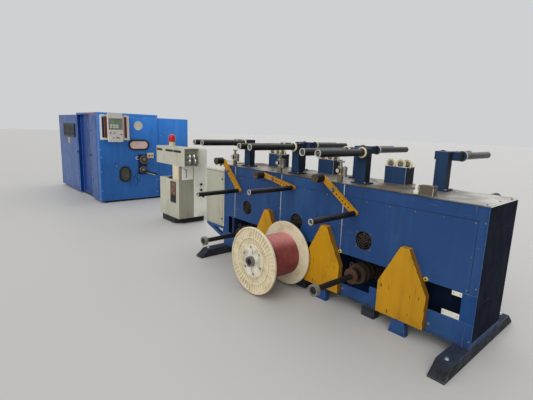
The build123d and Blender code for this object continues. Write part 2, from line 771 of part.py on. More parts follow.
def console_knobs():
    """Row of control knobs on the sloped face."""
    x1 = -BANK_LENGTH - CONSOLE_GAP
    rise = CONSOLE_PEAK - CONSOLE_FRONT_TOP
    slope = Vector(0, CONSOLE_PEAK_DEPTH, rise).normalized()
    normal = Vector(0, -slope.Z, slope.Y)
    knobs = []
    for index in range(CONSOLE_KNOBS):
        x = x1 - CONSOLE_WIDTH * (index + 1) / (CONSOLE_KNOBS + 1)
        foot = Vector(x, CONSOLE_PEAK_DEPTH / 2, CONSOLE_FRONT_TOP + rise / 2)
        seat = Plane(origin=foot, x_dir=(1, 0, 0), z_dir=normal)
        knob = Cylinder(
            CONSOLE_KNOB_RADIUS, CONSOLE_KNOB_HEIGHT, align=(Align.CENTER, Align.CENTER, Align.MIN)
        )
        knobs.append(seat * knob)
    return knobs


def console_bracket():
    """Two blue triangular brackets that hang the console on the bank."""
    x1 = -BANK_LENGTH
    x0 = x1 - CONSOLE_GAP - CONSOLE_WIDTH
    brackets = []
    shank = x1 - BRACKET_SHANK
    foot = CONSOLE_BOTTOM - BRACKET_DROP
    rail = CONSOLE_BOTTOM - BRACKET_RAIL
    for y0 in (BRACKET_FRONT, CONSOLE_DEPTH - BRACKET_WIDTH):
        outline = [(x1, CONSOLE_BOTTOM), (x0, CONSOLE_BOTTOM), (x0, rail), (shank, foot), (x1, foot)]
        web = profile_along_y(outline, y0, y0 + BRACKET_WIDTH)
        opening = [(shank, rail), (x0 + BRACKET_TIP, rail), (shank, foot + BRACKET_RAIL)]
        brackets.append(web - profile_along_y(opening, y0 - 1, y0 + BRACKET_WIDTH + 1))
    return brackets


def tester_plinth():
    """Dark plinth under the tester and the tall cabinet, one corner cut off."""
    x1 = TESTER_RIGHT - PLINTH_INSET
    x0 = TESTER_RIGHT - TESTER_WIDTH + PLINTH_INSET
    y0 = TESTER_FRONT
    y1 = TESTER_FRONT + TESTER_DEPTH + TALL_CABINET_DEPTH
    cut = PLINTH_CHAMFER
    outline = [(x0, y0), (x1 - cut / 2, y0), (x1, y0 + cut), (x1, y1), (x0, y1)]
    face = make_face(Polyline(*[(x, y, 0) for x, y in outline], close=True))
    return extrude(face, amount=TESTER_BOTTOM, dir=(0, 0, 1))


def tester_body():
    """Lower cabinet of the tester with the column that carries the head."""
    y0 = TESTER_FRONT
    y1 = TESTER_FRONT + TESTER_DEPTH
    cabinet = block(TESTER_RIGHT - TESTER_WIDTH, TESTER_RIGHT, y0, y1, TESTER_BOTTOM, TESTER_TOP)
    column = block(TESTER_RIGHT - COLUMN_WIDTH, TESTER_RIGHT, y0, y1, TESTER_TOP, HEAD_BOX_BOTTOM)
    return cabinet + column


def tester_head():
    """Tester head: a long box, open at its right end face."""
    y0 = TESTER_FRONT
    y1 = TESTER_FRONT + TESTER_DEPTH
    wall = HEAD_BOX_WALL
    box = block(HEAD_BOX_LEFT, HEAD_BOX_RIGHT, y0, y1, HEAD_BOX_BOTTOM, HEAD_BOX_TOP)
    mouth_x = HEAD_BOX_RIGHT - HEAD_MOUTH_DEPTH
    floor = HEAD_BOX_BOTTOM + wall
    roof = HEAD_BOX_TOP - wall
    return box - block(mouth_x, HEAD_BOX_RIGHT + 1, y0 + wall, y1 - wall, floor, roof)


def tester_tray():
    """Round dark tray on the cabinet's top."""
    radius = TESTER_DEPTH / 2 - TRAY_MARGIN
    x = TESTER_RIGHT - COLUMN_WIDTH - radius - TRAY_MARGIN
    y = TESTER_FRONT + TESTER_DEPTH / 2
    return Pos(x, y, TESTER_TOP + TRAY_THICKNESS / 2) * Cylinder(radius, TRAY_THICKNESS)


def beacon():
    """Beacon: a narrower base and a round-topped dome."""
    radius = BEACON_RADIUS
    standing = (Align.CENTER, Align.CENTER, Align.MIN)
    base = Cylinder(BEACON_BASE_RADIUS, BEACON_BASE, align=standing)
    side = BEACON_HEIGHT - BEACON_BASE - radius
    dome = Pos(0, 0, BEACON_BASE) * Cylinder(radius, side, align=standing)
    cap = Pos(0, 0, BEACON_BASE + side) * Sphere(radius, arc_size1=0, align=standing)
    return Pos(BEACON_X, TESTER_FRONT + TESTER_DEPTH / 2, HEAD_BOX_TOP) * (base + dome + cap)


def tall_cabinet():
    """Tall narrow cabinet behind the tester."""
    y0 = TESTER_FRONT + TESTER_DEPTH
    y1 = y0 + TALL_CABINET_DEPTH
    return block(TESTER_RIGHT - TESTER_WIDTH, TESTER_RIGHT, y0, y1, TESTER_BOTTOM, TALL_CABINET_TOP)


BUNCHER_LEFT = BUNCHER_RIGHT - BUNCHER_LENGTH
BUNCHER_SEAM = BUNCHER_FRONT + BUNCHER_MAIN_DEPTH


def buncher_housing():
    """Main closed housing with a shallow recess in its long side."""
    body = block(BUNCHER_LEFT, BUNCHER_RIGHT, BUNCHER_FRONT, BUNCHER_SEAM, BUNCHER_SKIRT, BUNCHER_HEIGHT)
    recess_right = BUNCHER_RIGHT - BUNCHER_RECESS_START
    recess = block(
        recess_right - BUNCHER_RECESS_LENGTH,
        recess_right,
        BUNCHER_FRONT - 1,
        BUNCHER_FRONT + BUNCHER_RECESS_DEPTH,
        BUNCHER_SKIRT - 1,
        BUNCHER_HEIGHT + 1,
    )
    return body - recess


def buncher_side_bay():
    """Lower closed section behind the main housing."""
    return block(
        BUNCHER_LEFT,
        BUNCHER_RIGHT - BUNCHER_STEP,
        BUNCHER_SEAM,
        BUNCHER_FRONT + BUNCHER_DEPTH,
        BUNCHER_SKIRT,
        BUNCHER_HEIGHT - BUNCHER_STEP,
    )


def buncher_skirt():
    """Set-back base plinth on the floor."""
    return block(
        BUNCHER_LEFT + SKIRT_INSET,
        BUNCHER_RIGHT - SKIRT_INSET,
        BUNCHER_FRONT + BUNCHER_RECESS_DEPTH + SKIRT_BEHIND_RECESS,
        BUNCHER_FRONT + BUNCHER_DEPTH - SKIRT_INSET,
        0,
        BUNCHER_SKIRT,
    )


def buncher_canopy():
    """Low canopy over the recess and the machine's right end."""
    return block(
        BUNCHER_RIGHT - CANOPY_LENGTH,
        BUNCHER_RIGHT,
        BUNCHER_FRONT,
        BUNCHER_SEAM,
        BUNCHER_HEIGHT,
        BUNCHER_HEIGHT + CANOPY_HEIGHT,
    )


# Fittings on the buncher's intake face: middle Y, middle Z, width, height
OPERATOR_BOX = (21, 1530, 540, 490)
OPERATOR_BOX_DEPTH = 120
OPERATOR_COVER = (5, 1530, 285, 560)
OPERATOR_COVER_DEPTH = 40
OPERATOR_SCREEN = (4, 1601, 248, 194)
OPERATOR_SCREEN_DEPTH = 8
WIDE_WINDOW = (530, 1184, 450, 225)
TALL_WINDOW = (217, 578, 235, 330)
WINDOW_RIM = 32
WINDOW_RIM_DEPTH = 25
SWITCH_PLATE = (780, 957, 140, 110)
SWITCH_DEPTH = 18
UPPER_WHEEL = (600, 880, 85)
LOWER_WHEEL = (580, 665, 70)
WHEEL_WIDTH = 36
WHEEL_STANDOFF = 70
WHEEL_PIN = 10
WHEEL_BOSS = 22
WHEEL_GROOVE = 14
# The bracket plate and its arm: middle Y, middle Z, width, height
BRACKET_PLATE = (600, 770, 180, 420)
BRACKET_PLATE_THICKNESS = 16
INTAKE_ARM = (675, 610, 30, 40)
INTAKE_ARM_LENGTH = 520


def face_box(spec, depth, x0=BUNCHER_RIGHT):
    """A box standing out of the intake face."""
    y, z, width, height = spec
    return block(x0, x0 + depth, y - width / 2, y + width / 2, z - height / 2, z + height / 2)


def operator_box():
    """Operator box with its taller front cover and the sunk field of its screen."""
    cover_back = BUNCHER_RIGHT + OPERATOR_BOX_DEPTH
    cover_front = cover_back + OPERATOR_COVER_DEPTH
    cover = face_box(OPERATOR_COVER, OPERATOR_COVER_DEPTH, cover_back)
    screen = face_box(OPERATOR_SCREEN, OPERATOR_SCREEN_DEPTH + 1, cover_front - OPERATOR_SCREEN_DEPTH)
    return face_box(OPERATOR_BOX, OPERATOR_BOX_DEPTH) + cover - screen


def pill(spec, grow, x0, x1):
    """A round-ended bar along X, as wide and high as its spec says."""
    y, z, width, height = spec
    outline = RectangleRounded(width + 2 * grow, height + 2 * grow, min(width, height) / 2 + grow - 0.5)
    face = Plane(origin=(x0, y, z), x_dir=(0, 1, 0), z_dir=(1, 0, 0)) * outline
    return extrude(face, amount=x1 - x0, dir=(1, 0, 0))


def window_frame(spec):
    """Black rim of an oval window."""
    outer = pill(spec, 0, BUNCHER_RIGHT, BUNCHER_RIGHT + WINDOW_RIM_DEPTH)
    return outer - pill(spec, -WINDOW_RIM, BUNCHER_RIGHT - 1, BUNCHER_RIGHT + WINDOW_RIM_DEPTH + 1)


def window_pane(spec):
    """Pane seated in the rim."""
    return pill(spec, -WINDOW_RIM - SEAT_GAP, BUNCHER_RIGHT, BUNCHER_RIGHT + WINDOW_RIM_DEPTH / 2)


def intake_bracket():
    """Bracket with the wheels' pins and the long guide arm."""
    x0 = BUNCHER_RIGHT
    plate = face_box(BRACKET_PLATE, BRACKET_PLATE_THICKNESS)
    for y, z, radius in (UPPER_WHEEL, LOWER_WHEEL):
        pin = Pos(x0 + (WHEEL_STANDOFF + WHEEL_WIDTH) / 2, y, z) * Rot(0, 90, 0)
        plate += pin * Cylinder(WHEEL_PIN, WHEEL_STANDOFF + WHEEL_WIDTH)
        boss = Pos(x0 + (WHEEL_STANDOFF - SEAT_GAP) / 2, y, z) * Rot(0, 90, 0)
        plate += boss * Cylinder(WHEEL_BOSS, WHEEL_STANDOFF - SEAT_GAP)
    return plate + face_box(INTAKE_ARM, INTAKE_ARM_LENGTH)


def guide_wheel(spec):
    """Grooved wire wheel on a pin along X."""
    y, z, radius = spec
    x0 = BUNCHER_RIGHT + WHEEL_STANDOFF
    half = WHEEL_WIDTH / 2
    outline = [
        (0, WHEEL_PIN + RUNNING_FIT),
        (WHEEL_WIDTH, WHEEL_PIN + RUNNING_FIT),
        (WHEEL_WIDTH, radius),
        (half, radius - WHEEL_GROOVE),
        (0, radius),
    ]
    face = make_face(Polyline(*[(x, 0, r) for x, r in outline], close=True))
    wheel = revolve(face, axis=Axis((0, 0, 0), (1, 0, 0)), revolution_arc=360)
    return Pos(x0, y, z) * wheel


def side_louvre():
    """Black louvre box on the long side, with a row of level slots."""
    x1 = BUNCHER_RIGHT - LOUVRE_FROM_RIGHT
    x0 = x1 - LOUVRE_WIDTH
    y0 = BUNCHER_FRONT - LOUVRE_DEPTH
    louvre = block(x0, x1, y0, BUNCHER_FRONT, LOUVRE_BOTTOM, LOUVRE_BOTTOM + LOUVRE_HEIGHT)
    pitch = LOUVRE_HEIGHT / (LOUVRE_SLOTS + 1)
    for slot in range(LOUVRE_SLOTS):
        z = LOUVRE_BOTTOM + (slot + 1) * pitch - LOUVRE_SLOT_HEIGHT / 2
        louvre -= block(
            x0 + LOUVRE_FRAME, x1 - LOUVRE_FRAME, y0 - 1, y0 + LOUVRE_SLOT_DEPTH, z, z + LOUVRE_SLOT_HEIGHT
        )
    return louvre


def bank_nodes():
    """Fixed pieces of the pay-off bank."""
    fronts = front_bays()
    rear_y = BANK_DEPTH - SHEET
    front_fans = [x + FAN_FROM_SPINDLE for x in fronts]
    rear_fans = [x - FAN_FROM_SPINDLE for x in rear_bays()]
    grilles = [fan_grille(x) for x in front_fans]
    drums = [spindle_drum(x) for x in fronts]
    guards = [guard(guard_x(x)) for x in fronts]
    guard_feet = [guard_foot(guard_x(x)) for x in fronts]
    posts = [roller_post(x + POST_FROM_SPINDLE) for x in fronts]
    pivots = [dancer_pivot(x + PIVOT_FROM_SPINDLE) for x in fronts]
    regulators = [air_regulator(x + REGULATOR_FROM_SPINDLE) for x in fronts]
    boxes = [tension_box(x + TENSION_BOX_FROM_SPINDLE - TENSION_BOX_WIDTH) for x in fronts]

    def both_sides(pieces):
        """The front pieces and their copies on the rear side."""
        return solids_of(pieces + [to_rear(piece) for piece in pieces])

    return {
        "bank_base": bank_base(),
        "front_panels": solids_of([upper_panel(0, front_fans), lower_panel(0, fronts)]),
        "rear_panels": solids_of([upper_panel(rear_y, rear_fans), lower_panel(rear_y, rear_bays())]),
        "end_frames": end_frames(),
        "bay_dividers": bay_dividers(),
        "spine_wall": spine_wall(),
        "top_plate": top_plate(),
        "fan_grilles": both_sides(grilles),
        "spindle_drums": both_sides(drums),
        "reel_guards": both_sides(guards),
        "guard_feet": both_sides(guard_feet),
        "roller_posts": both_sides(posts),
        "dancer_pivots": both_sides(pivots),
        "air_regulators": solids_of(regulators),
        "tension_boxes": solids_of(boxes),
        "junction_box": junction_box(),
    }


def front_bay_nodes():
    """Turning and swinging pieces of each front bay; the loaded spindle's lever is a piece of its own."""
    nodes = {}
    for index, x in enumerate(front_bays()):
        bay = index + 1
        pivot = x + PIVOT_FROM_SPINDLE
        angle = ARM_ANGLES[index]
        post = x + POST_FROM_SPINDLE
        nodes[f"spindle_{bay}"] = spindle(x) if index == REEL_BAY else spindle(x) + latch_lever(x)
        nodes[f"dancer_arm_{bay}"] = dancer_arm(pivot, angle)
        nodes[f"dancer_roller_{bay}"] = dancer_roller(pivot, angle)
        nodes[f"guide_roller_left_{bay}"] = guide_roller(post - ROLLER_SPACING / 2)
        nodes[f"guide_roller_right_{bay}"] = guide_roller(post + ROLLER_SPACING / 2)
    return nodes


def rear_bay_nodes():
    """The same pieces on the unseen rear side, kept still."""
    spindles = []
    arms = []
    rollers = []
    for index, x in enumerate(front_bays()):
        pivot = x + PIVOT_FROM_SPINDLE
        angle = REAR_ARM_ANGLES[index]
        post = x + POST_FROM_SPINDLE
        spindles.append(to_rear(spindle(x) + latch_lever(x)))
        arms.append(to_rear(dancer_arm(pivot, angle)))
        rollers.append(to_rear(dancer_roller(pivot, angle)))
        rollers.append(to_rear(guide_roller(post - ROLLER_SPACING / 2)))
        rollers.append(to_rear(guide_roller(post + ROLLER_SPACING / 2)))
    return {
        "rear_spindles": solids_of(spindles),
        "rear_dancers": solids_of(arms),
        "rear_rollers": solids_of(rollers),
    }


def reel_nodes():
    """Reel and winding on their spindle, and the lever that locks them."""
    x = bay_x(REEL_BAY)
    return {
        "reel_latch": latch_lever(x),
        "reel_flanges": solids_of(reel_flanges(x)),
        "reel_barrel": reel_barrel(x),
        "reel_winding": reel_winding(x),
    }


def stand_nodes():
    """Console, tester and tall cabinet."""
    return {
        "console_housing": console_housing(),
        "console_knobs": solids_of(console_knobs()),
        "console_brackets": solids_of(console_bracket()),
        "tester_plinth": tester_plinth(),
        "tester_body": tester_body(),
        "tester_head": tester_head(),
        "tester_tray": tester_tray(),
        "beacon": beacon(),
        "tall_cabinet": tall_cabinet(),
    }


def buncher_nodes():
    """The closed bunching machine and what stands on its intake face."""
    windows = (WIDE_WINDOW, TALL_WINDOW)
    return {
        "buncher_skirt": buncher_skirt(),
        "buncher_housing": buncher_housing(),
        "buncher_side_bay": buncher_side_bay(),
        "buncher_canopy": buncher_canopy(),
        "operator_box": operator_box(),
        "window_frames": solids_of([window_frame(spec) for spec in windows]),
        "window_panes": solids_of([window_pane(spec) for spec in windows]),
        "switch_plate": face_box(SWITCH_PLATE, SWITCH_DEPTH),
        "intake_bracket": intake_bracket(),
        "intake_wheel_upper": guide_wheel(UPPER_WHEEL),
        "intake_wheel_lower": guide_wheel(LOWER_WHEEL),
        "side_louvre": side_louvre(),
    }


def build_line():
    """All nodes, moved so that the origin is under the middle of the whole line."""
    nodes = {}
    for group in (bank_nodes, front_bay_nodes, rear_bay_nodes, reel_nodes, stand_nodes, buncher_nodes):
        nodes.update(group())
    pieces = []
    for shape in nodes.values():
        pieces.extend(shape.solids())
    box = Compound(pieces).bounding_box()
    move = Pos(-(box.min.X + box.max.X) / 2, -(box.min.Y + box.max.Y) / 2, -box.min.Z)
    return {name: move * shape for name, shape in nodes.items()}, move


LINE, MOVE = build_line()
for name, shape in LINE.items():
    export_step(shape, f"parts/{name}.step")
print("nodes", len(LINE), "moved by", MOVE.position)
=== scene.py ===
# %% [markdown]
# # A wire bunching line
#
# This lesson dresses a finished CAD model of a factory line: a blue pay-off bank with cantilever reel
# spindles, a sloped console, a spark tester with a red beacon, and a closed blue bunching machine. The CAD
# pieces keep their shapes and places. Blender gives them paint, steel, rubber and plastic, softens their
# edges, and adds the small things a fitter would: screws, hinges, seams, buttons and wound wire.

import bpy
import bmesh
import math
from mathutils import Matrix, Vector


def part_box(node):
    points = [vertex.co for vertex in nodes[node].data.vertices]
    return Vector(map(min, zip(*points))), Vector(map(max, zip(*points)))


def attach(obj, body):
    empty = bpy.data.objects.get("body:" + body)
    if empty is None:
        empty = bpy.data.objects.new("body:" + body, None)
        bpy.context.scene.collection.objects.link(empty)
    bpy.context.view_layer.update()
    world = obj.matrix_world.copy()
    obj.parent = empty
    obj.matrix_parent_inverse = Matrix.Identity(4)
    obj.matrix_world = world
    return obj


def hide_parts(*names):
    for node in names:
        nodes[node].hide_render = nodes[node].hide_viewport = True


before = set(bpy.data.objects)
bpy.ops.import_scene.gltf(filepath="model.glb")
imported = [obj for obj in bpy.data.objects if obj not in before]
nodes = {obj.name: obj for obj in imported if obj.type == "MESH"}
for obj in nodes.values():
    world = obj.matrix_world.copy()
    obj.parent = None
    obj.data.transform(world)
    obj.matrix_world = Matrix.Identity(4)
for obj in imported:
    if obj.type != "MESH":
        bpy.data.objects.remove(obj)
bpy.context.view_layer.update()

# %% [markdown]
# ## The camera
#
# The photograph was taken by hand, at head height near the bank's free end, looking left along the line.
# Its straight edges give the lens and three small angles. Writing the camera as a position and three angles
# keeps every number readable, and the matrix is worked out from them.

# %% Set the camera
IMAGE_WIDTH = 533
FOCAL_PIXELS = 374.96
SENSOR_WIDTH = 36
CAMERA_PLACE = Vector((5.8508, -3.2798, 1.60))
# Angles in radians
PITCH = 0.1861
ROLL = 0.0350
TURN = 0.8457


def camera_matrix():
    """The camera's place and turn from its position, pitch, roll and turn about the vertical."""
    ahead = Vector((-math.sin(TURN) * math.cos(PITCH), math.cos(TURN) * math.cos(PITCH), -math.sin(PITCH)))
    level = Vector((math.cos(TURN), math.sin(TURN), 0))
    above = level.cross(ahead)
    right = math.cos(ROLL) * level + math.sin(ROLL) * above
    up = -math.sin(ROLL) * level + math.cos(ROLL) * above
    turn = Matrix((right, up, -ahead)).transposed().to_4x4()
    return Matrix.Translation(CAMERA_PLACE) @ turn


camera_data = bpy.data.cameras.new("camera")
camera_data.sensor_fit = "HORIZONTAL"
camera_data.sensor_width = SENSOR_WIDTH
camera_data.lens = SENSOR_WIDTH * FOCAL_PIXELS / IMAGE_WIDTH
camera = bpy.data.objects.new("camera", camera_data)
camera.matrix_world = camera_matrix()
bpy.context.scene.collection.objects.link(camera)
bpy.context.scene.camera = camera
print("lens", round(camera_data.lens, 2), "mm")

# %% [markdown]
# ## Floor and light
#
# A plain pale floor and soft light show paint as it is. Three very wide sun lamps stand in for a factory's
# rows of ceiling lights: a sun doesn't fade with distance, so the machine ten metres away is lit as the
# near reel is. The world fills the shadows. The view transform is Standard, so a colour renders about as it
# is written.

# %% Lay the floor
FLOOR_SIZE = 160
FLOOR_COLOUR = (0.50, 0.49, 0.47, 1)
FLOOR_ROUGHNESS = 0.5
FLOOR_MIRROR = 0.3


def deselect():
    """Nothing stays selected, because an operator acts on all that is."""
    bpy.ops.object.select_all(action="DESELECT")


deselect()
bpy.ops.mesh.primitive_plane_add(size=FLOOR_SIZE)
floor = bpy.context.object
floor.name = "floor"

floor_paint = bpy.data.materials.new("pale floor")
floor_paint.use_nodes = True
floor_shader = floor_paint.node_tree.nodes["Principled BSDF"].inputs
floor_shader["Base Color"].default_value = FLOOR_COLOUR
floor_shader["Roughness"].default_value = FLOOR_ROUGHNESS
floor_shader["Specular IOR Level"].default_value = FLOOR_MIRROR
floor.data.materials.append(floor_paint)

# %% Hang the lamps
# Name, direction in which the light travels, angle of the lamp in degrees, strength
LAMPS = (
    ("front row", (-0.30, 0.78, -0.55), 60, 1.95),
    ("roof row", (0.10, -0.10, -1.0), 80, 0.9),
    ("rear row", (0.35, -0.80, -0.50), 80, 0.65),
)


def add_lamp(name, travel, angle, strength):
    """A wide sun lamp that shines along a direction."""
    data = bpy.data.lights.new(name, "SUN")
    data.angle = math.radians(angle)
    data.energy = strength
    lamp = bpy.data.objects.new(name, data)
    lamp.rotation_euler = Vector(travel).to_track_quat("-Z", "Y").to_euler()
    bpy.context.scene.collection.objects.link(lamp)


for lamp_spec in LAMPS:
    add_lamp(*lamp_spec)
print("lamps", len(LAMPS))

# %% [markdown]
# The world is two backgrounds. Light that falls on the line comes from a dim fill, while the camera, mirror
# reflections and glass see a paler backdrop, which stays clear of the exposure.

# %% Fill with the world
FILL_COLOUR = (0.96, 0.98, 1.0, 1)
FILL_STRENGTH = 0.33
BACKDROP_COLOUR = (0.62, 0.63, 0.64, 1)
BACKDROP_STRENGTH = 1.0

world = bpy.data.worlds.new("studio")
world.use_nodes = True
bpy.context.scene.world = world
world_tree = world.node_tree
fill = world_tree.nodes["Background"]
fill.inputs["Color"].default_value = FILL_COLOUR
fill.inputs["Strength"].default_value = FILL_STRENGTH
backdrop = world_tree.nodes.new("ShaderNodeBackground")
backdrop.inputs["Color"].default_value = BACKDROP_COLOUR
backdrop.inputs["Strength"].default_value = BACKDROP_STRENGTH
ray = world_tree.nodes.new("ShaderNodeLightPath").outputs
mirrored = world_tree.nodes.new("ShaderNodeMath")
mirrored.operation = "MAXIMUM"
seen = world_tree.nodes.new("ShaderNodeMath")
seen.operation = "MAXIMUM"
mix = world_tree.nodes.new("ShaderNodeMixShader")
WORLD_LINKS = (
    (ray["Is Glossy Ray"], mirrored.inputs[0]),
    (ray["Is Transmission Ray"], mirrored.inputs[1]),
    (ray["Is Camera Ray"], seen.inputs[0]),
    (mirrored.outputs[0], seen.inputs[1]),
    (seen.outputs[0], mix.inputs[0]),
    (fill.outputs[0], mix.inputs[1]),
    (backdrop.outputs[0], mix.inputs[2]),
    (mix.outputs[0], world_tree.nodes["World Output"].inputs["Surface"]),
)
for source, target in WORLD_LINKS:
    world_tree.links.new(source, target)
bpy.context.scene.view_settings.view_transform = "Standard"

# %% [markdown]
# ## Landmarks
#
# Everything is placed from the CAD frame: the pay-off bank's faces, its spindles, and the half turn that
# carries a front piece to the rear side. A place on the bank is written from its right end, its front face
# and the floor.

# %% Read the landmarks
BAYS = (1, 2, 3)
SIDES = (-1, 1)
SPINDLES = [f"spindle_{bay}" for bay in BAYS]
ARMS = [f"dancer_arm_{bay}" for bay in BAYS]
DANCERS = [f"dancer_roller_{bay}" for bay in BAYS]
GUIDES = [f"guide_roller_{side}_{bay}" for bay in BAYS for side in ("left", "right")]
PANEL_LOW, PANEL_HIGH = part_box("front_panels")
BANK_LEFT = PANEL_LOW.x
BANK_RIGHT = PANEL_HIGH.x
LEFT_END = BANK_LEFT - BANK_RIGHT
FRONT_FACE = PANEL_LOW.y
REAR_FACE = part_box("rear_panels")[1].y
PLATE_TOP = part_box("top_plate")[1].z
BANK_MIDDLE_X = (BANK_LEFT + BANK_RIGHT) / 2
BANK_MIDDLE_Y = (FRONT_FACE + REAR_FACE) / 2
HALF_DEPTH = (REAR_FACE - FRONT_FACE) / 2


def centre(name):
    """The middle of a CAD node's box."""
    low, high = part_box(name)
    return (low + high) / 2


def at(x, y, z):
    """A place from the bank's right end, its front face and the floor."""
    return Vector((BANK_RIGHT + x, FRONT_FACE + y, z))


def shift(x=0.0, y=0.0, z=0.0):
    """A plain move."""
    return Matrix.Translation((x, y, z))


def spin(angle, axis="Z"):
    """A turn about an axis through the origin."""
    return Matrix.Rotation(angle, 4, axis)


SPINDLE_X = [centre(name).x for name in SPINDLES]
BAY_X = [x - BANK_RIGHT for x in SPINDLE_X]
REAR_SHIFT = centre("rear_spindles").x + SPINDLE_X[1] - 2 * BANK_MIDDLE_X
TURN_ROUND = shift(2 * BANK_MIDDLE_X, 2 * BANK_MIDDLE_Y) @ spin(math.pi)
TO_REAR = shift(2 * BANK_MIDDLE_X + REAR_SHIFT, 2 * BANK_MIDDLE_Y) @ spin(math.pi)
FRONTWARD = spin(math.pi / 2, "X")
RIGHTWARD = spin(math.pi / 2, "Y")
print("bays at", [round(x, 3) for x in BAY_X], "rear shift", round(REAR_SHIFT, 3))

# %% [markdown]
# ## Effects as node groups
#
# Most surfaces of a working machine share a few effects: paint that has faded, scratched, chipped and
# gathered dust, steel that has been rubbed, oil on castings, and fine grain in moulded plastic. Each effect
# is one node group, so it is tuned in one place and every material can set its own amounts. A node is
# placed by one function, which links what is a socket and sets what is a number, and sums get short names.

# %% Helpers that build a node group
KINDS = {"colour": "NodeSocketColor", "value": "NodeSocketFloat"}


def new_group(name, inputs, outputs):
    """An empty group with named sockets, and its two end nodes."""
    tree = bpy.data.node_groups.new(name, "ShaderNodeTree")
    for label, kind, value in inputs:
        socket = tree.interface.new_socket(name=label, in_out="INPUT", socket_type=KINDS[kind])
        socket.default_value = value
    for label, kind in outputs:
        tree.interface.new_socket(name=label, in_out="OUTPUT", socket_type=KINDS[kind])
    return tree, tree.nodes.new("NodeGroupInput").outputs, tree.nodes.new("NodeGroupOutput").inputs


def place(tree, kind, inputs=None, **settings):
    """A node with its settings; an input given as a socket is linked, and as a number is set."""
    node = tree.nodes.new("ShaderNode" + kind)
    for key, value in settings.items():
        setattr(node, key, value)
    for key, value in (inputs or {}).items():
        if isinstance(value, bpy.types.NodeSocket):
            tree.links.new(value, node.inputs[key])
        else:
            node.inputs[key].default_value = value
    return node


def maths(operation):
    """A short name for one kind of sum of two values in a tree."""
    return lambda tree, *values: place(tree, "Math", dict(enumerate(values)), operation=operation).outputs[0]


plus = maths("ADD")
minus = maths("SUBTRACT")
times = maths("MULTIPLY")
over = maths("DIVIDE")
larger = maths("MAXIMUM")
exceeds = maths("GREATER_THAN")
size_of = maths("ABSOLUTE")


# %% Helpers for ramps, blends and patterns
def ramp(tree, value, low, high, start=0.0, end=1.0):
    """The value from low to high stretched over start to end, and held there."""
    inputs = {"Value": value, "From Min": low, "From Max": high, "To Min": start, "To Max": end}
    return place(tree, "MapRange", inputs, interpolation_type="SMOOTHSTEP").outputs[0]


def blend_colours(tree, share, first, second, way="MIX"):
    """Two colours mixed by a share."""
    inputs = {0: share, 6: first, 7: second}
    return place(tree, "Mix", inputs, data_type="RGBA", blend_type=way, clamp_factor=True).outputs[2]


def object_space(tree, scale=(1, 1, 1), turn=(0, 0, 0)):
    """Object coordinates, stretched or turned where a pattern has a direction."""
    coordinates = place(tree, "TexCoord").outputs["Object"]
    if scale == (1, 1, 1) and turn == (0, 0, 0):
        return coordinates
    return place(tree, "Mapping", {"Vector": coordinates, "Scale": scale, "Rotation": turn}).outputs[0]


def along(tree, axis):
    """One of the object coordinates by itself."""
    return place(tree, "SeparateXYZ", {0: object_space(tree)}).outputs[axis]


def facing(tree, axis):
    """How far a face looks along an axis."""
    return place(tree, "SeparateXYZ", {0: place(tree, "NewGeometry").outputs["Normal"]}).outputs[axis]


def noise(tree, vector, size, detail=3.0, rough=0.55):
    """Plain noise with spots of about the given size in metres."""
    inputs = {"Vector": vector, "Scale": 1 / size, "Detail": detail, "Roughness": rough}
    return place(tree, "TexNoise", inputs).outputs["Fac"]


def put_out(tree, result, **sockets):
    """Links what a group made to its outputs, named in small letters."""
    for label, value in sockets.items():
        tree.links.new(value, result[label.capitalize()])


# %% [markdown]
# ### Aged enamel
#
# Sheet-metal enamel is not one colour. It fades in broad patches, carries faint vertical wash marks, has
# thin scratches and small chips down to grey primer, gathers dust where it faces up and splashes where it
# meets the floor. A very fine ripple, which painters call orange peel, breaks up its reflections.

# %% Start the aged enamel group with fading and scratches
enamel_inputs = [
    ("Colour", "colour", (0.05, 0.1, 0.3, 1)),
    ("Faded", "colour", (0.1, 0.16, 0.35, 1)),
    ("Primer", "colour", (0.35, 0.35, 0.33, 1)),
    ("Grime", "colour", (0.05, 0.045, 0.04, 1)),
    ("Fading", "value", 0.5),
    ("Scratches", "value", 0.4),
    ("Chips", "value", 0.3),
    ("Dirt", "value", 0.5),
    ("Gloss", "value", 0.35),
]
surface_outputs = [("Colour", "colour"), ("Roughness", "value"), ("Height", "value")]
ENAMEL, given, result = new_group("aged enamel", enamel_inputs, surface_outputs)
plain_space = object_space(ENAMEL)
patches = ramp(ENAMEL, noise(ENAMEL, plain_space, 0.7), 0.38, 0.66)
wash_space = object_space(ENAMEL, (9, 9, 0.7))
wash = ramp(ENAMEL, noise(ENAMEL, wash_space, 0.8, 2), 0.45, 0.75)
paleness = times(ENAMEL, plus(ENAMEL, patches, wash), given["Fading"])
colour = blend_colours(ENAMEL, paleness, given["Colour"], given["Faded"])

first_marks = noise(ENAMEL, object_space(ENAMEL, (2, 2, 60), (0.3, 0.2, 0.5)), 0.8, 2)
second_marks = noise(ENAMEL, object_space(ENAMEL, (70, 50, 2), (0.1, 0.7, -0.4)), 0.9, 2)
handled = ramp(ENAMEL, noise(ENAMEL, plain_space, 0.25), 0.5, 0.62)
thin = larger(ENAMEL, ramp(ENAMEL, first_marks, 0.69, 0.72), ramp(ENAMEL, second_marks, 0.70, 0.73))
marks = times(ENAMEL, times(ENAMEL, thin, handled), given["Scratches"])
colour = blend_colours(ENAMEL, marks, colour, given["Primer"])

# %% Add chips, dust and splashes
flakes = noise(ENAMEL, plain_space, 0.018, 4, 0.6)
chip_limit = minus(ENAMEL, 0.80, times(ENAMEL, given["Chips"], 0.12))
chips = times(ENAMEL, exceeds(ENAMEL, flakes, chip_limit), handled)
colour = blend_colours(ENAMEL, chips, colour, given["Primer"])

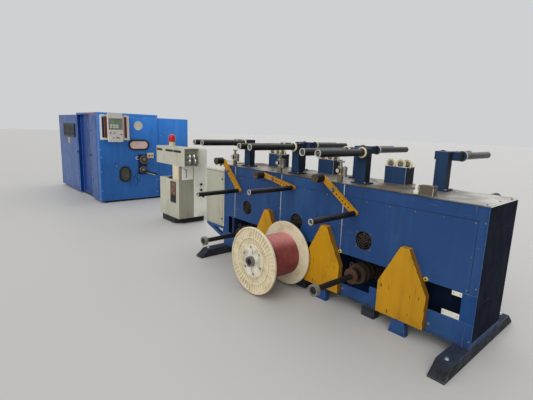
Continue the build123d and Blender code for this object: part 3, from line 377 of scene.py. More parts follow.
splash = ramp(ENAMEL, along(ENAMEL, "Z"), 0.0, 0.32, 1.0, 0.0)
splash = times(ENAMEL, splash, ramp(ENAMEL, noise(ENAMEL, plain_space, 0.12, 5, 0.7), 0.35, 0.7))
settled = times(ENAMEL, ramp(ENAMEL, facing(ENAMEL, "Z"), 0.6, 0.95), 0.45)
smear_space = object_space(ENAMEL, (3, 3, 1))
smear = ramp(ENAMEL, noise(ENAMEL, smear_space, 0.3, 5, 0.65), 0.52, 0.78, 0.0, 0.6)
dirt = larger(ENAMEL, larger(ENAMEL, splash, settled), smear)
dirt = times(ENAMEL, dirt, given["Dirt"])
colour = blend_colours(ENAMEL, dirt, colour, given["Grime"])

# %% Finish the group with gloss and relief
dull = times(ENAMEL, larger(ENAMEL, dirt, chips), 0.35)
uneven = ramp(ENAMEL, noise(ENAMEL, plain_space, 0.16, 4), 0.3, 0.7, 0.0, 0.12)
roughness = plus(ENAMEL, plus(ENAMEL, given["Gloss"], dull), uneven)
peel = times(ENAMEL, noise(ENAMEL, plain_space, 0.006, 2), 0.25)
relief = minus(ENAMEL, peel, plus(ENAMEL, chips, times(ENAMEL, marks, 0.6)))
put_out(ENAMEL, result, colour=colour, roughness=roughness, height=relief)
print("aged enamel has", len(ENAMEL.nodes), "nodes")

# %% [markdown]
# ### Rubbed edges
#
# Paint leaves a sheet's edges first. The edges here are real bevels that a modifier adds, and the modifier
# can give those narrow faces a material of their own. This group mixes what is left of the paint with
# primer and bare metal, so an edge reads as worn from any side.

# %% Build the rubbed edge group
edge_inputs = [
    ("Paint", "colour", (0.05, 0.1, 0.3, 1)),
    ("Bare", "colour", (0.5, 0.5, 0.5, 1)),
    ("Amount", "value", 0.5),
]
edge_outputs = [("Colour", "colour"), ("Metallic", "value"), ("Roughness", "value")]
EDGE, given, result = new_group("rubbed edge", edge_inputs, edge_outputs)
rubs = noise(EDGE, object_space(EDGE), 0.05, 4, 0.7)
limit = minus(EDGE, 0.72, times(EDGE, given["Amount"], 0.35))
bare = place(EDGE, "MapRange", {"Value": rubs, "From Min": limit, "From Max": 1.0, "To Max": 6.0}).outputs[0]
bare = place(EDGE, "Clamp", {"Value": bare}).outputs[0]
colour = blend_colours(EDGE, bare, given["Paint"], given["Bare"])
metallic = times(EDGE, bare, 0.7)
roughness = ramp(EDGE, rubs, 0.2, 0.8, 0.35, 0.6)
put_out(EDGE, result, colour=colour, metallic=metallic, roughness=roughness)
print("rubbed edge has", len(EDGE.nodes), "nodes")

# %% [markdown]
# ### Rubbed steel and oily castings
#
# Bare metal on such a line is never clean. Sheets carry the fine lines of the rollers that made them, with
# stains and a film of oil, and castings are pitted and dark. One group serves both: the stains, the pits
# and the gloss are its inputs.

# %% Build the worked metal group
metal_inputs = [
    ("Colour", "colour", (0.5, 0.5, 0.5, 1)),
    ("Stain", "colour", (0.2, 0.15, 0.1, 1)),
    ("Staining", "value", 0.5),
    ("Pits", "value", 0.3),
    ("Gloss", "value", 0.3),
]
LINE_SHEEN = (0.9, 0.9, 0.9, 1)
METAL, given, result = new_group("worked metal", metal_inputs, surface_outputs)
plain_space = object_space(METAL)
lines = noise(METAL, object_space(METAL, (1, 60, 60)), 0.25, 3)
blots = ramp(METAL, noise(METAL, plain_space, 0.09, 5, 0.65), 0.45, 0.68)
broad = ramp(METAL, noise(METAL, plain_space, 0.5, 3), 0.4, 0.65)
stain = times(METAL, larger(METAL, blots, broad), given["Staining"])
lined = blend_colours(METAL, ramp(METAL, lines, 0.35, 0.7, 0.0, 0.3), given["Colour"], LINE_SHEEN, "OVERLAY")
colour = blend_colours(METAL, stain, lined, given["Stain"])
roughness = plus(METAL, given["Gloss"], times(METAL, stain, 0.4))
roughness = plus(METAL, roughness, ramp(METAL, lines, 0.3, 0.7, 0.0, 0.1))
pits = times(METAL, noise(METAL, plain_space, 0.004, 3, 0.7), given["Pits"])
relief = plus(METAL, pits, times(METAL, lines, 0.1))
put_out(METAL, result, colour=colour, roughness=roughness, height=relief)
print("worked metal has", len(METAL.nodes), "nodes")

# %% [markdown]
# ### Moulded grain
#
# Rubber, plastic and cast resin share a fine even grain, a slight change of tone from handling, and dust
# that sits in the grain.

# %% Build the moulded grain group
grain_inputs = [
    ("Colour", "colour", (0.1, 0.1, 0.1, 1)),
    ("Handled", "colour", (0.2, 0.2, 0.2, 1)),
    ("Handling", "value", 0.4),
    ("Grain", "value", 0.004),
    ("Gloss", "value", 0.45),
]
MID_GREY = (0.5, 0.5, 0.5, 1)
GRAIN, given, result = new_group("moulded grain", grain_inputs, surface_outputs)
plain_space = object_space(GRAIN)
grain_scale = over(GRAIN, 1.0, given["Grain"])
grain_noise = place(GRAIN, "TexNoise", {"Vector": plain_space, "Scale": grain_scale, "Detail": 2.0})
speckle = grain_noise.outputs["Fac"]
touched = ramp(GRAIN, noise(GRAIN, plain_space, 0.12, 5, 0.65), 0.42, 0.7)
touched = times(GRAIN, touched, given["Handling"])
colour = blend_colours(GRAIN, touched, given["Colour"], given["Handled"])
colour = blend_colours(GRAIN, ramp(GRAIN, speckle, 0.3, 0.7, 0.0, 0.25), colour, MID_GREY, "SOFT_LIGHT")
roughness = plus(GRAIN, given["Gloss"], times(GRAIN, touched, 0.25))
put_out(GRAIN, result, colour=colour, roughness=roughness, height=speckle)
print("moulded grain has", len(GRAIN.nodes), "nodes")

# %% [markdown]
# ## Materials
#
# A material places one or two of the groups with its own colours. A function makes each family, because a
# dozen materials differ only in colours and amounts. Values that are the same all over, such as Metallic on
# plain steel, stay on the shader's own sockets.

# %% Functions that make materials
BUMP_STRENGTH = 0.5
PAINT_RELIEF = 0.0006
METAL_RELIEF = 0.0008
GRAIN_RELIEF = 0.0005


def linear(code):
    """A colour written as six hexadecimal digits, made linear for the shader."""
    parts = [int(code[i:i + 2], 16) / 255 for i in (0, 2, 4)]
    return tuple(p / 12.92 if p <= 0.04045 else ((p + 0.055) / 1.055) ** 2.4 for p in parts) + (1,)


def add_effect(tree, group, values):
    """Places a group in a material, with values by its sockets' names in small letters."""
    effect = tree.nodes.new("ShaderNodeGroup")
    effect.node_tree = group
    for key, value in values.items():
        effect.inputs[key.capitalize()].default_value = linear(value) if isinstance(value, str) else value
    return effect.outputs


def blank_material(name):
    """A new material, its node tree and its shader's sockets."""
    material = bpy.data.materials.new(name)
    material.use_nodes = True
    return material, material.node_tree, material.node_tree.nodes["Principled BSDF"].inputs


def new_material(name, group, relief, metallic=0.0, coat=0.0, mirror=0.5, **values):
    """A material whose colour, roughness and bump come from one placed group."""
    material, tree, shader = blank_material(name)
    shader["Metallic"].default_value = metallic
    shader["Coat Weight"].default_value = coat
    shader["Specular IOR Level"].default_value = mirror
    effect = add_effect(tree, group, values)
    tree.links.new(effect["Colour"], shader["Base Color"])
    tree.links.new(effect["Roughness"], shader["Roughness"])
    bump = place(tree, "Bump", {"Height": effect["Height"], "Strength": BUMP_STRENGTH, "Distance": relief})
    tree.links.new(bump.outputs[0], shader["Normal"])
    return material


def enamel(name, colour, faded, grime="17140f", primer="8a8a84", mirror=0.22, **amounts):
    """Painted sheet metal, which mirrors little because factory paint is dusty."""
    return new_material(name, ENAMEL, PAINT_RELIEF, mirror=mirror, colour=colour, faded=faded, grime=grime,
                        primer=primer, **amounts)


def metal(name, colour, stain, shine=1.0, **amounts):
    """Bare or oiled metal."""
    return new_material(name, METAL, METAL_RELIEF, metallic=shine, colour=colour, stain=stain, **amounts)


def moulded(name, colour, handled, coat=0.0, **amounts):
    """Rubber or moulded plastic."""
    return new_material(name, GRAIN, GRAIN_RELIEF, coat=coat, mirror=0.3, colour=colour, handled=handled,
                        **amounts)


def rubbed_edge(name, paint, bare, amount):
    """The worn edge that goes with a paint."""
    material, tree, shader = blank_material(name)
    effect = add_effect(tree, EDGE, {"paint": paint, "bare": bare, "amount": amount})
    tree.links.new(effect["Colour"], shader["Base Color"])
    tree.links.new(effect["Metallic"], shader["Metallic"])
    tree.links.new(effect["Roughness"], shader["Roughness"])
    return material


# %% [markdown]
# ### Second coats
#
# One CAD node can carry two finishes: a counterweight and its painted arm, a lens and its cream base. The
# second finish is laid over the first where a mask is 1, and the mask is a simple test on the object
# coordinates. This keeps one mesh and one material.

# %% Lay a second finish by a mask
SHARP = 0.0005


def recoat(material, group, mask, **values):
    """Lays a second finish over a material where its mask is 1."""
    tree = material.node_tree
    shader = tree.nodes["Principled BSDF"].inputs
    effect = add_effect(tree, group, values)
    share = mask(tree)
    first = shader["Base Color"].links[0].from_socket
    tree.links.new(blend_colours(tree, share, first, effect["Colour"]), shader["Base Color"])
    first = shader["Roughness"].links[0].from_socket
    blend = place(tree, "Mix", {0: share, 2: first, 3: effect["Roughness"]}, data_type="FLOAT")
    tree.links.new(blend.outputs[0], shader["Roughness"])


def past(axis, limit, fade=SHARP):
    """A mask that is 1 where a coordinate is more than its limit."""
    return lambda tree: ramp(tree, along(tree, axis), limit - fade, limit + fade)


def short_of(axis, limit, fade=SHARP):
    """A mask that is 1 where a coordinate is less than its limit."""
    return lambda tree: ramp(tree, along(tree, axis), limit - fade, limit + fade, 1.0, 0.0)


def both(first, second):
    """A mask that is 1 where two masks are."""
    return lambda tree: times(tree, first(tree), second(tree))


def between(axis, low, high, fade=SHARP):
    """A mask that is 1 between two limits."""
    return both(past(axis, low, fade), short_of(axis, high, fade))


def outward(axis, low=0.85, high=0.95):
    """A mask that is 1 on faces that look along an axis."""
    return lambda tree: ramp(tree, facing(tree, axis), low, high)


def patchy(size, low, high, scale=(1, 1, 1)):
    """A mask of uneven spots."""
    return lambda tree: ramp(tree, noise(tree, object_space(tree, scale), size, 4, 0.65), low, high)


# %% Masks on a distance
def from_middle(low, high):
    """A mask on the distance from the bank's middle plane, the same in front and behind."""
    def mask(tree):
        distance = size_of(tree, minus(tree, along(tree, "Y"), BANK_MIDDLE_Y))
        inner = ramp(tree, distance, low - SHARP, low + SHARP)
        return times(tree, inner, ramp(tree, distance, high - SHARP, high + SHARP, 1.0, 0.0))
    return mask


def near_axle(middle, low, high):
    """A mask on the distance from an axle that runs along Y."""
    def mask(tree):
        x = minus(tree, along(tree, "X"), middle.x)
        z = minus(tree, along(tree, "Z"), middle.z)
        square = plus(tree, times(tree, x, x), times(tree, z, z))
        return ramp(tree, square, low ** 2, high ** 2, 1.0, 0.0)
    return mask

# %% [markdown]
# ### The paints
#
# The bank is a deep navy that has gone chalky. Its free end stands in shade, and its faces that look to +X
# are painted nearly black as painted shade. The bunching machine is a brighter blue, with a painted
# highlight on its upper intake face. Its long side is recoated a paler, greyer blue, and the recess between
# its doors a darker, deeper blue as painted shade, so both are second coats over the same paint.

# %% Mix the bank's blues
BANK_WEAR = {"fading": 0.45, "scratches": 0.35, "dirt": 0.6}

bank_blue = enamel("bank blue", "1f4070", "2a5080", chips=0.3, gloss=0.42, **BANK_WEAR)
recoat(bank_blue, ENAMEL, short_of("Z", 0.112, 0.03), colour="262d38", faded="3a3f46", grime="1c1813",
       chips=0.8, dirt=1.0, gloss=0.6)
end_blue = enamel("end blue", "1f4070", "2a5080", chips=0.3, gloss=0.5, mirror=0.04, **BANK_WEAR)
# Painted shade: the end frames' faces that look to +X are nearly black.
recoat(end_blue, ENAMEL, outward("X"), colour="060d20", faded="0a142e", grime="0b0a09", fading=0.4, dirt=0.5,
       gloss=0.6)
plain_blue = enamel("plain blue", "1f4070", "2a5080", chips=0.35, gloss=0.42, **BANK_WEAR)
deep_blue = enamel("deep blue", "10203a", "182e4f", fading=0.4, scratches=0.2, chips=0.2, dirt=0.7, gloss=0.5)
post_blue = enamel("post blue", "1b3454", "244264", fading=0.45, scratches=0.3, chips=0.3, dirt=0.6,
                   gloss=0.5)
# Painted shade: the posts' faces that look to +X are darker.
recoat(post_blue, ENAMEL, outward("X"), colour="0e1622", faded="162234", dirt=0.6, gloss=0.55)

# %% Mix the bunching machine's blue and its coats
BUNCHER_LOW, BUNCHER_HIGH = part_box("buncher_housing")
INTAKE_X = BUNCHER_HIGH.x
SIDE_Y = BUNCHER_LOW.y
DOOR_SKIN = 0.003
INTAKE_EDGE = 0.14
RECESS_EDGE = 0.5
RECESS_DEPTH = 0.09

machine_blue = enamel("machine blue", "2a60a6", "346eb4", fading=0.45, scratches=0.3, chips=0.15, dirt=0.3,
                      gloss=0.3)
# Painted highlight: the upper part of the intake face, which looks to +X, is a brighter blue.
recoat(machine_blue, ENAMEL, both(outward("X"), past("Z", 1.25, 0.55)), colour="3a88e6", faded="4a96f0",
       grime="2c4468", fading=0.5, chips=0.1, gloss=0.3)
below_wheels = both(between("Y", SIDE_Y + 0.57, SIDE_Y + 0.90, 0.05), between("Z", 0.28, 0.62, 0.06))
streaks = both(both(outward("X"), below_wheels), patchy(0.05, 0.45, 0.60, (1, 2, 0.35)))
recoat(machine_blue, ENAMEL, streaks, colour="1f3f70", faded="28497a", grime="0c1018", fading=0.4, dirt=1.0,
       gloss=0.35)
long_side = both(short_of("Y", SIDE_Y + DOOR_SKIN), short_of("X", INTAKE_X - INTAKE_EDGE))
recoat(machine_blue, ENAMEL, long_side, colour="3a5488", faded="486394", grime="2b3342", fading=0.6,
       chips=0.2, gloss=0.34)
# Painted shade: the recess between the doors is a darker, deeper blue.
in_recess = both(between("Y", SIDE_Y + 2 * DOOR_SKIN, SIDE_Y + RECESS_DEPTH),
                 short_of("X", INTAKE_X - RECESS_EDGE))
recoat(machine_blue, ENAMEL, in_recess, colour="0c3272", faded="143e84", grime="101a30", fading=0.4,
       chips=0.2, gloss=0.3)

# %% [markdown]
# ### Yellow, grey and dark paints
#
# The yellow guards take the most knocks, from reels and lift trucks, and show brown primer through many
# chips; their faces that look to +X are darker, as painted shade. The grey cabinets are a warm cream-grey.
# The tester's faces that look to +X are painted darker and browner as painted shade, and the tall cabinet's
# are painted paler as a painted highlight.

# %% Mix the yellows and greys
YELLOW_WEAR = {"grime": "3a2408", "primer": "2c1c0e", "fading": 0.6, "scratches": 0.7, "dirt": 0.5,
               "gloss": 0.42}
CABINET_WEAR = {"grime": "4c463a", "fading": 0.6, "scratches": 0.3, "chips": 0.2, "dirt": 0.45, "gloss": 0.4}

guard_yellow = enamel("guard yellow", "bd8a12", "a67712", chips=1.0, **YELLOW_WEAR)
# Painted shade: the guards' faces that look to +X are a darker, browner yellow.
recoat(guard_yellow, ENAMEL, outward("X", 0.5, 0.7), colour="8a6014", faded="6e4a12", grime="2a1a08",
       dirt=0.8, gloss=0.5)
arm_yellow = enamel("arm yellow", "c88f16", "b47e16", chips=0.9, **YELLOW_WEAR)
recoat(arm_yellow, ENAMEL, from_middle(HALF_DEPTH + 0.0525, HALF_DEPTH + 0.70), colour="191817",
       faded="262422", primer="4a3226", grime="0c0b0a", chips=0.8, dirt=0.5, gloss=0.45)
cabinet_grey = enamel("cabinet grey", "aeab9b", "9f9c8b", **CABINET_WEAR)
cabinet_pale = enamel("pale cabinet", "c3c2b0", "b4b29f", **CABINET_WEAR)
# Painted highlight: the tall cabinet's faces that look to +X are painted paler, though they stand in shade.
recoat(cabinet_pale, ENAMEL, outward("X"), colour="eae8dc", faded="dcdacc", grime="6c6658", gloss=0.36)
tester_grey = enamel("tester grey", "b8b6a6", "a7a593", **CABINET_WEAR)
# Painted shade: the tester's faces that look to +X are darker and browner.
recoat(tester_grey, ENAMEL, outward("X"), colour="9d9b8b", faded="908e7c", grime="3a352b", fading=0.6,
       dirt=0.5, gloss=0.42)

# %% Mix the small parts' paints
# Painted highlight: the hatch's white is brighter than its paint, because the hatch faces +X in shade.
hatch_white = enamel("hatch white", "f6f3ea", "e8e3d6", grime="6c6252", fading=0.5, scratches=0.3, chips=0.2,
                     dirt=0.3, gloss=0.3)
dark_paint = enamel("dark paint", "1d1f22", "2a2c2e", fading=0.5, scratches=0.3, chips=0.3, dirt=0.4,
                    gloss=0.45)
box_grey = enamel("box grey", "cfccc4", "bdbab0", grime="5c564a", fading=0.4, scratches=0.2, chips=0.1,
                  dirt=0.3, gloss=0.35)
brown_grey = enamel("brown grey", "5e5448", "4c443a", grime="2a241c", fading=0.5, scratches=0.4, chips=0.4,
                    dirt=0.6, gloss=0.45)
white_paint = enamel("white paint", "d9d6cc", "c4c0b2", grime="5c5244", fading=0.5, scratches=0.4, chips=0.4,
                     dirt=0.5, gloss=0.4)
label_yellow = enamel("label yellow", "d0b64a", "b89e3e", grime="4a3a1c", fading=0.6, scratches=0.5,
                      chips=0.6, dirt=0.4, gloss=0.45)
strip_orange = enamel("strip orange", "c4622e", "a9542a", grime="4a2a18", fading=0.5, scratches=0.4,
                      chips=0.3, dirt=0.4, gloss=0.4)
stripe_red = enamel("stripe red", "6a2c28", "542420", grime="2a1614", fading=0.5, scratches=0.3, chips=0.3,
                    dirt=0.4, gloss=0.4)
column_cream = enamel("column cream", "d8c8a8", "c9b592", grime="6a5a42", fading=0.5, scratches=0.3,
                      chips=0.2, dirt=0.3, gloss=0.4)
seam_dark = enamel("seam dark", "0e131c", "161c28", grime="0a0a0a", fading=0.3, scratches=0.1, chips=0.1,
                   dirt=0.3, gloss=0.6)

# %% [markdown]
# ### Metals
#
# The bank's top plate is bare steel, paler near the free end and brown with old oil further along. Its end
# face and rim at the free end are near white, a painted highlight. Spindles are oiled steel with a rusty face
# plate and a pale, worn clamp.

# %% Mix the metals
FACE_PLATE = (HALF_DEPTH + 0.058, HALF_DEPTH + 0.0755)
CLAMP_RING = (HALF_DEPTH + 0.533, HALF_DEPTH + 0.60)

top_steel = metal("worn top steel", "857d71", "40372d", staining=0.85, pits=0.5, gloss=0.36, shine=0.8)
recoat(top_steel, METAL, past("X", BANK_RIGHT - 0.40, 0.12), colour="aeaca6", stain="5e584e", staining=0.6,
       pits=0.2, gloss=0.3)
# Painted highlight: the plate's faces that look to +X are near white.
recoat(top_steel, METAL, outward("X"), colour="ffffff", stain="dcdcda", staining=0.2, pits=0.1, gloss=0.2)
plate_rim = metal("plate rim", "3a332b", "221c16", staining=0.8, pits=0.4, gloss=0.45, shine=0.7)
# Painted highlight: the rim's bevels at the free end that look towards +X are near white.
painted_rim_highlight = both(past("X", BANK_RIGHT - 0.16, 0.06), outward("X", 0.25, 0.45))
recoat(plate_rim, METAL, painted_rim_highlight, colour="e8e8e6", stain="b4b2ae", staining=0.3, gloss=0.22)
oily_steel = metal("oily steel", "3a3632", "17130f", staining=0.7, pits=0.5, gloss=0.32, shine=0.75)
recoat(oily_steel, METAL, from_middle(*FACE_PLATE), colour="5c4334", stain="2e211a", staining=0.8, pits=1.0,
       gloss=0.55)
recoat(oily_steel, METAL, from_middle(*CLAMP_RING), colour="98948b", stain="5a554d", staining=0.5, pits=0.4,
       gloss=0.4)
latch_steel = metal("latch steel", "98928a", "4a4038", staining=0.6, pits=0.6, gloss=0.4, shine=0.8)
cast_iron = metal("cast iron", "5a4d40", "241a12", staining=0.8, pits=1.0, gloss=0.45, shine=0.7)
bright_steel = metal("bright steel", "cfcfcc", "8a867e", staining=0.3, pits=0.1, gloss=0.24, shine=0.9)
dull_steel = metal("dull steel", "8d8b86", "3c3830", staining=0.5, pits=0.4, gloss=0.38, shine=0.85)
brass = metal("brass", "b39240", "5a4620", staining=0.5, pits=0.2, gloss=0.3, shine=0.9)

# %% [markdown]
# ### Rubber, plastics and panes
#
# The rollers are hard black plastic with a silky shine. The beacon is clear red over a cream base. Reels
# are cream plastic, yellowed and grubby, with a paler hub. The winding's red is darkened as painted shade for
# its sides, and its faces that look up are paler as a painted highlight. The lower pane is olive, painted
# shade for the machine's dark inside that shows through it.

# %% Mix the plastics
HUB_EDGE = (0.140, 0.150)
BEACON_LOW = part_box("beacon")[0].z
BEACON_BASE = 0.0745
PANE_SPLIT = 0.85

roller_black = moulded("roller black", "131315", "2b2a29", handling=0.5, grain=0.003, gloss=0.34)
black_plastic = moulded("black plastic", "111213", "222324", handling=0.3, grain=0.002, gloss=0.4)
cream_plastic = moulded("cream plastic", "d8cda9", "bfae82", handling=0.7, grain=0.003, gloss=0.42)
white_plastic = moulded("white plastic", "dcdad4", "bcb8ac", handling=0.5, grain=0.003, gloss=0.4)
cap_plastic = moulded("cap plastic", "b9b4a6", "8f8a7c", handling=0.7, grain=0.003, gloss=0.45)
fan_brown = moulded("fan brown", "2b2520", "3a322a", handling=0.7, grain=0.003, gloss=0.55)
reel_cream = moulded("reel cream", "d7ccb0", "b6a580", handling=0.75, grain=0.003, gloss=0.46)
recoat(reel_cream, GRAIN, near_axle(centre("reel_barrel"), *HUB_EDGE), colour="d9d5c6", handled="a39c88",
       handling=0.9, grain=0.006, gloss=0.5)
# Painted shade and highlight: the winding's red is darkened for its sides, and its upward faces are paler.
winding_red = moulded("winding red", "86403f", "6c2e2c", handling=0.6, grain=0.002, gloss=0.5)
recoat(winding_red, GRAIN, outward("Z", 0.55, 0.92), colour="cc8482", handled="b87270", handling=0.5,
       grain=0.002, gloss=0.5)
pane_material = moulded("window pane", "dcbfb6", "c7a196", handling=0.6, grain=0.02, gloss=0.14, coat=0.3)
# Painted shade: the lower pane is olive for the machine's dark inside.
recoat(pane_material, GRAIN, short_of("Z", PANE_SPLIT), colour="3c3d30", handled="5d5e48", handling=0.7,
       grain=0.03, gloss=0.14)
beacon_red = moulded("beacon red", "b0120e", "8a0c0a", handling=0.2, grain=0.01, gloss=0.2, coat=0.2)
recoat(beacon_red, GRAIN, short_of("Z", BEACON_LOW + BEACON_BASE), colour="d0c6a8", handled="a99c78",
       handling=0.5, grain=0.003, gloss=0.4)

# %% Mix the buttons and the screen
red_button = moulded("red button", "b8231c", "8c1a16", handling=0.3, grain=0.003, gloss=0.3, coat=0.3)
orange_button = moulded("orange button", "cf5a2a", "a84822", handling=0.3, grain=0.003, gloss=0.3, coat=0.3)
blue_button = moulded("blue button", "2b4a9a", "20387a", handling=0.3, grain=0.003, gloss=0.3)
screen_glass = moulded("screen", "7a8474", "5c6860", handling=0.5, grain=0.03, gloss=0.12, coat=0.5)
screen_pale = moulded("screen pale", "c9ccc0", "aab0a2", handling=0.3, grain=0.02, gloss=0.12)
screen_green = moulded("screen green", "5f8a5a", "4c7048", handling=0.3, grain=0.02, gloss=0.12)

# %% Mix the worn edges
blue_edge = rubbed_edge("blue edge", "2c5288", "7d8288", 0.5)
# The machine's worn edge is partly real wear and partly a painted highlight, paler than the machine blue.
machine_edge = rubbed_edge("machine edge", "3e74bb", "9fb2c6", 0.4)
yellow_edge = rubbed_edge("yellow edge", "c8962c", "5a3c14", 0.6)
grey_edge = rubbed_edge("grey edge", "cfccbe", "8f8a7c", 0.4)
steel_edge = rubbed_edge("steel edge", "d8d8d6", "f0f0ee", 0.7)
dark_edge = rubbed_edge("dark edge", "2a2c2e", "707274", 0.4)
cream_edge = rubbed_edge("cream edge", "ddd3b2", "b8a67e", 0.3)
print("materials", len(bpy.data.materials))

# %% [markdown]
# ## Dress the CAD pieces
#
# Every CAD node gets its paint, a soft bevel and a worn edge. The mesh from CAD is loose triangles, so a
# Weld modifier joins them before the Bevel works on the sharp edges. Modifiers leave the stored mesh as it
# was, which keeps the CAD piece true.

# %% Choose each node's paint and edge
# Paint, worn edge, width of the bevel in millimetres, nodes
FINISHES = (
    (bank_blue, dark_edge, 3, ["bank_base"]),
    (bank_blue, blue_edge, 1.5, ["front_panels", "rear_panels"]),
    (end_blue, blue_edge, 2, ["end_frames"]),
    (deep_blue, blue_edge, 2, ["bay_dividers", "spine_wall", "intake_bracket"]),
    (plain_blue, blue_edge, 1.5, ["dancer_pivots"]),
    (plain_blue, blue_edge, 2, ["console_brackets"]),
    (plain_blue, blue_edge, 2.5, ["guard_feet"]),
    (post_blue, blue_edge, 2, ["roller_posts"]),
    (post_blue, steel_edge, 1, ["tension_boxes"]),
    (machine_blue, machine_edge, 5, ["buncher_housing", "buncher_side_bay", "buncher_canopy"]),
    (guard_yellow, yellow_edge, 2.5, ["reel_guards"]),
    (arm_yellow, yellow_edge, 1, ["rear_dancers"] + ARMS),
    (cabinet_grey, grey_edge, 4, ["console_housing"]),
    (cabinet_pale, grey_edge, 4, ["tall_cabinet"]),
    (tester_grey, grey_edge, 4, ["tester_body"]),
    (tester_grey, grey_edge, 3, ["tester_head"]),
    (box_grey, grey_edge, 5, ["operator_box"]),
    (brown_grey, grey_edge, 2, ["junction_box"]),
    (dark_paint, dark_edge, 3, ["tester_plinth", "buncher_skirt"]),
    (top_steel, plate_rim, 2, ["top_plate"]),
    (oily_steel, dark_edge, 1.5, ["rear_spindles"] + SPINDLES),
    (latch_steel, dark_edge, 1.5, ["reel_latch"]),
    (dull_steel, steel_edge, 1.5, ["air_regulators"]),
    (cast_iron, dark_edge, 2, ["spindle_drums"]),
    (cast_iron, steel_edge, 2, ["intake_wheel_upper", "intake_wheel_lower"]),
    (roller_black, steel_edge, 1.5, ["rear_rollers"] + DANCERS + GUIDES),
    (reel_cream, cream_edge, 1.2, ["reel_flanges", "reel_barrel"]),
    (cream_plastic, cream_edge, 3, ["switch_plate"]),
    (fan_brown, dark_edge, 0.8, ["fan_grilles"]),
    (black_plastic, dark_edge, 2, ["console_knobs"]),
    (black_plastic, dark_edge, 3, ["side_louvre"]),
    (black_plastic, dark_edge, 4, ["window_frames"]),
    (black_plastic, steel_edge, 4, ["tester_tray"]),
    (winding_red, None, 0, ["reel_winding"]),
    (beacon_red, None, 0, ["beacon"]),
    (pane_material, None, 0, ["window_panes"]),
)

# %% Give each node its paint and edge
WELD_DISTANCE = 0.00002
SHARP_ANGLE = math.radians(40)


def soften(piece, width):
    """Joins a CAD node's triangles and rounds its sharp edges with the second material."""
    weld = piece.modifiers.new("weld", "WELD")
    weld.merge_threshold = WELD_DISTANCE
    bevel = piece.modifiers.new("bevel", "BEVEL")
    bevel.width = width / 1000
    bevel.segments = 2
    bevel.limit_method = "ANGLE"
    bevel.angle_limit = SHARP_ANGLE
    bevel.material = 1
    bevel.harden_normals = False
    piece.modifiers.new("even normals", "WEIGHTED_NORMAL")


def dress(name, paint, edge, width):
    """Puts the materials on a node and softens its edges."""
    piece = nodes[name]
    piece.data.materials.clear()
    piece.data.materials.append(paint)
    if edge:
        piece.data.materials.append(edge)
        soften(piece, width)


for paint, edge, width, names in FINISHES:
    for name in names:
        dress(name, paint, edge, width)
print("dressed", sum(len(row[-1]) for row in FINISHES), "of", len(nodes), "nodes")

# %% [markdown]
# ## How new pieces are made
#
# Each small piece starts as a primitive at its real size, is shaped in edit mode, and is then copied to all
# its places, because a factory fits the same screw a hundred times too. An operator works on whatever is
# selected, so one helper selects a piece and another picks faces by where they are and where they look.

# %% Helpers for selecting
FRONT = (0, -1, 0)
BACK = (0, 1, 0)
LEFT = (-1, 0, 0)
RIGHT = (1, 0, 0)
UP = (0, 0, 1)


def use(piece):
    """Makes one piece the only selected one and the active one."""
    deselect()
    piece.select_set(True)
    bpy.context.view_layer.objects.active = piece


def begin(piece):
    """Opens a piece in edit mode, where faces are picked."""
    use(piece)
    bpy.ops.object.mode_set(mode="EDIT")
    bpy.ops.mesh.select_mode(type="FACE")


def end():
    """Goes back to object mode."""
    bpy.ops.object.mode_set(mode="OBJECT")


def pick_all():
    """Picks the whole mesh."""
    bpy.ops.mesh.select_all(action="SELECT")


def pick(piece, test):
    """Picks the faces whose middle and normal pass a test."""
    bpy.ops.mesh.select_all(action="DESELECT")
    mesh = bmesh.from_edit_mesh(piece.data)
    for face in mesh.faces:
        if test(face.calc_center_median(), face.normal):
            face.select_set(True)
    bmesh.update_edit_mesh(piece.data)


def looks(way):
    """A test for faces that look along a direction."""
    way = Vector(way)
    return lambda middle, normal: normal.dot(way) > 0.97


def top_above(height):
    """A test for faces that look up from above a height."""
    return lambda middle, normal: normal.z > 0.9 and middle.z > height


# %% Helpers for sheet and block pieces
def named(name):
    """The primitive that was just added, named and with its place in its mesh."""
    piece = bpy.context.object
    piece.name = name
    bpy.ops.object.transform_apply(location=True, rotation=True, scale=True)
    return piece


def block(name, low, high, round_by=0.0, steps=2):
    """A box between two corners with rounded edges."""
    low = Vector(low)
    high = Vector(high)
    deselect()
    bpy.ops.mesh.primitive_cube_add(size=1, location=(low + high) / 2, scale=high - low)
    piece = named(name)
    if round_by:
        begin(piece)
        pick_all()
        bpy.ops.mesh.bevel(offset=round_by, segments=steps, affect="EDGES")
        end()
    return piece


def sink(piece, test, border, depth):
    """Insets the picked faces by a border and pushes their middle in by a depth."""
    begin(piece)
    pick(piece, test)
    bpy.ops.mesh.inset(thickness=border, depth=0, use_even_offset=True)
    bpy.ops.mesh.inset(thickness=min(border, depth) * 0.3, depth=-depth)
    end()
    return piece


def pressed(name, low, high, way, border, depth, round_by):
    """A sheet cover between two corners, whose outer face is pressed in a little within a border."""
    return sink(block(name, low, high, round_by), looks(way), border, depth)


def framed(name, low, high, border, way, round_by):
    """A rectangular ring between two corners, open along a direction."""
    piece = block(name, low, high)
    way = Vector(way)
    begin(piece)
    pick(piece, lambda middle, normal: abs(normal.dot(way)) > 0.9)
    bpy.ops.mesh.inset(thickness=border, depth=0, use_even_offset=True)
    bpy.ops.mesh.bridge_edge_loops()
    pick_all()
    bpy.ops.mesh.normals_make_consistent(inside=False)
    bpy.ops.mesh.bevel(offset=round_by, segments=2, affect="EDGES")
    end()
    return piece


# %% Helpers for round pieces
SAME_PLACE = 0.00002


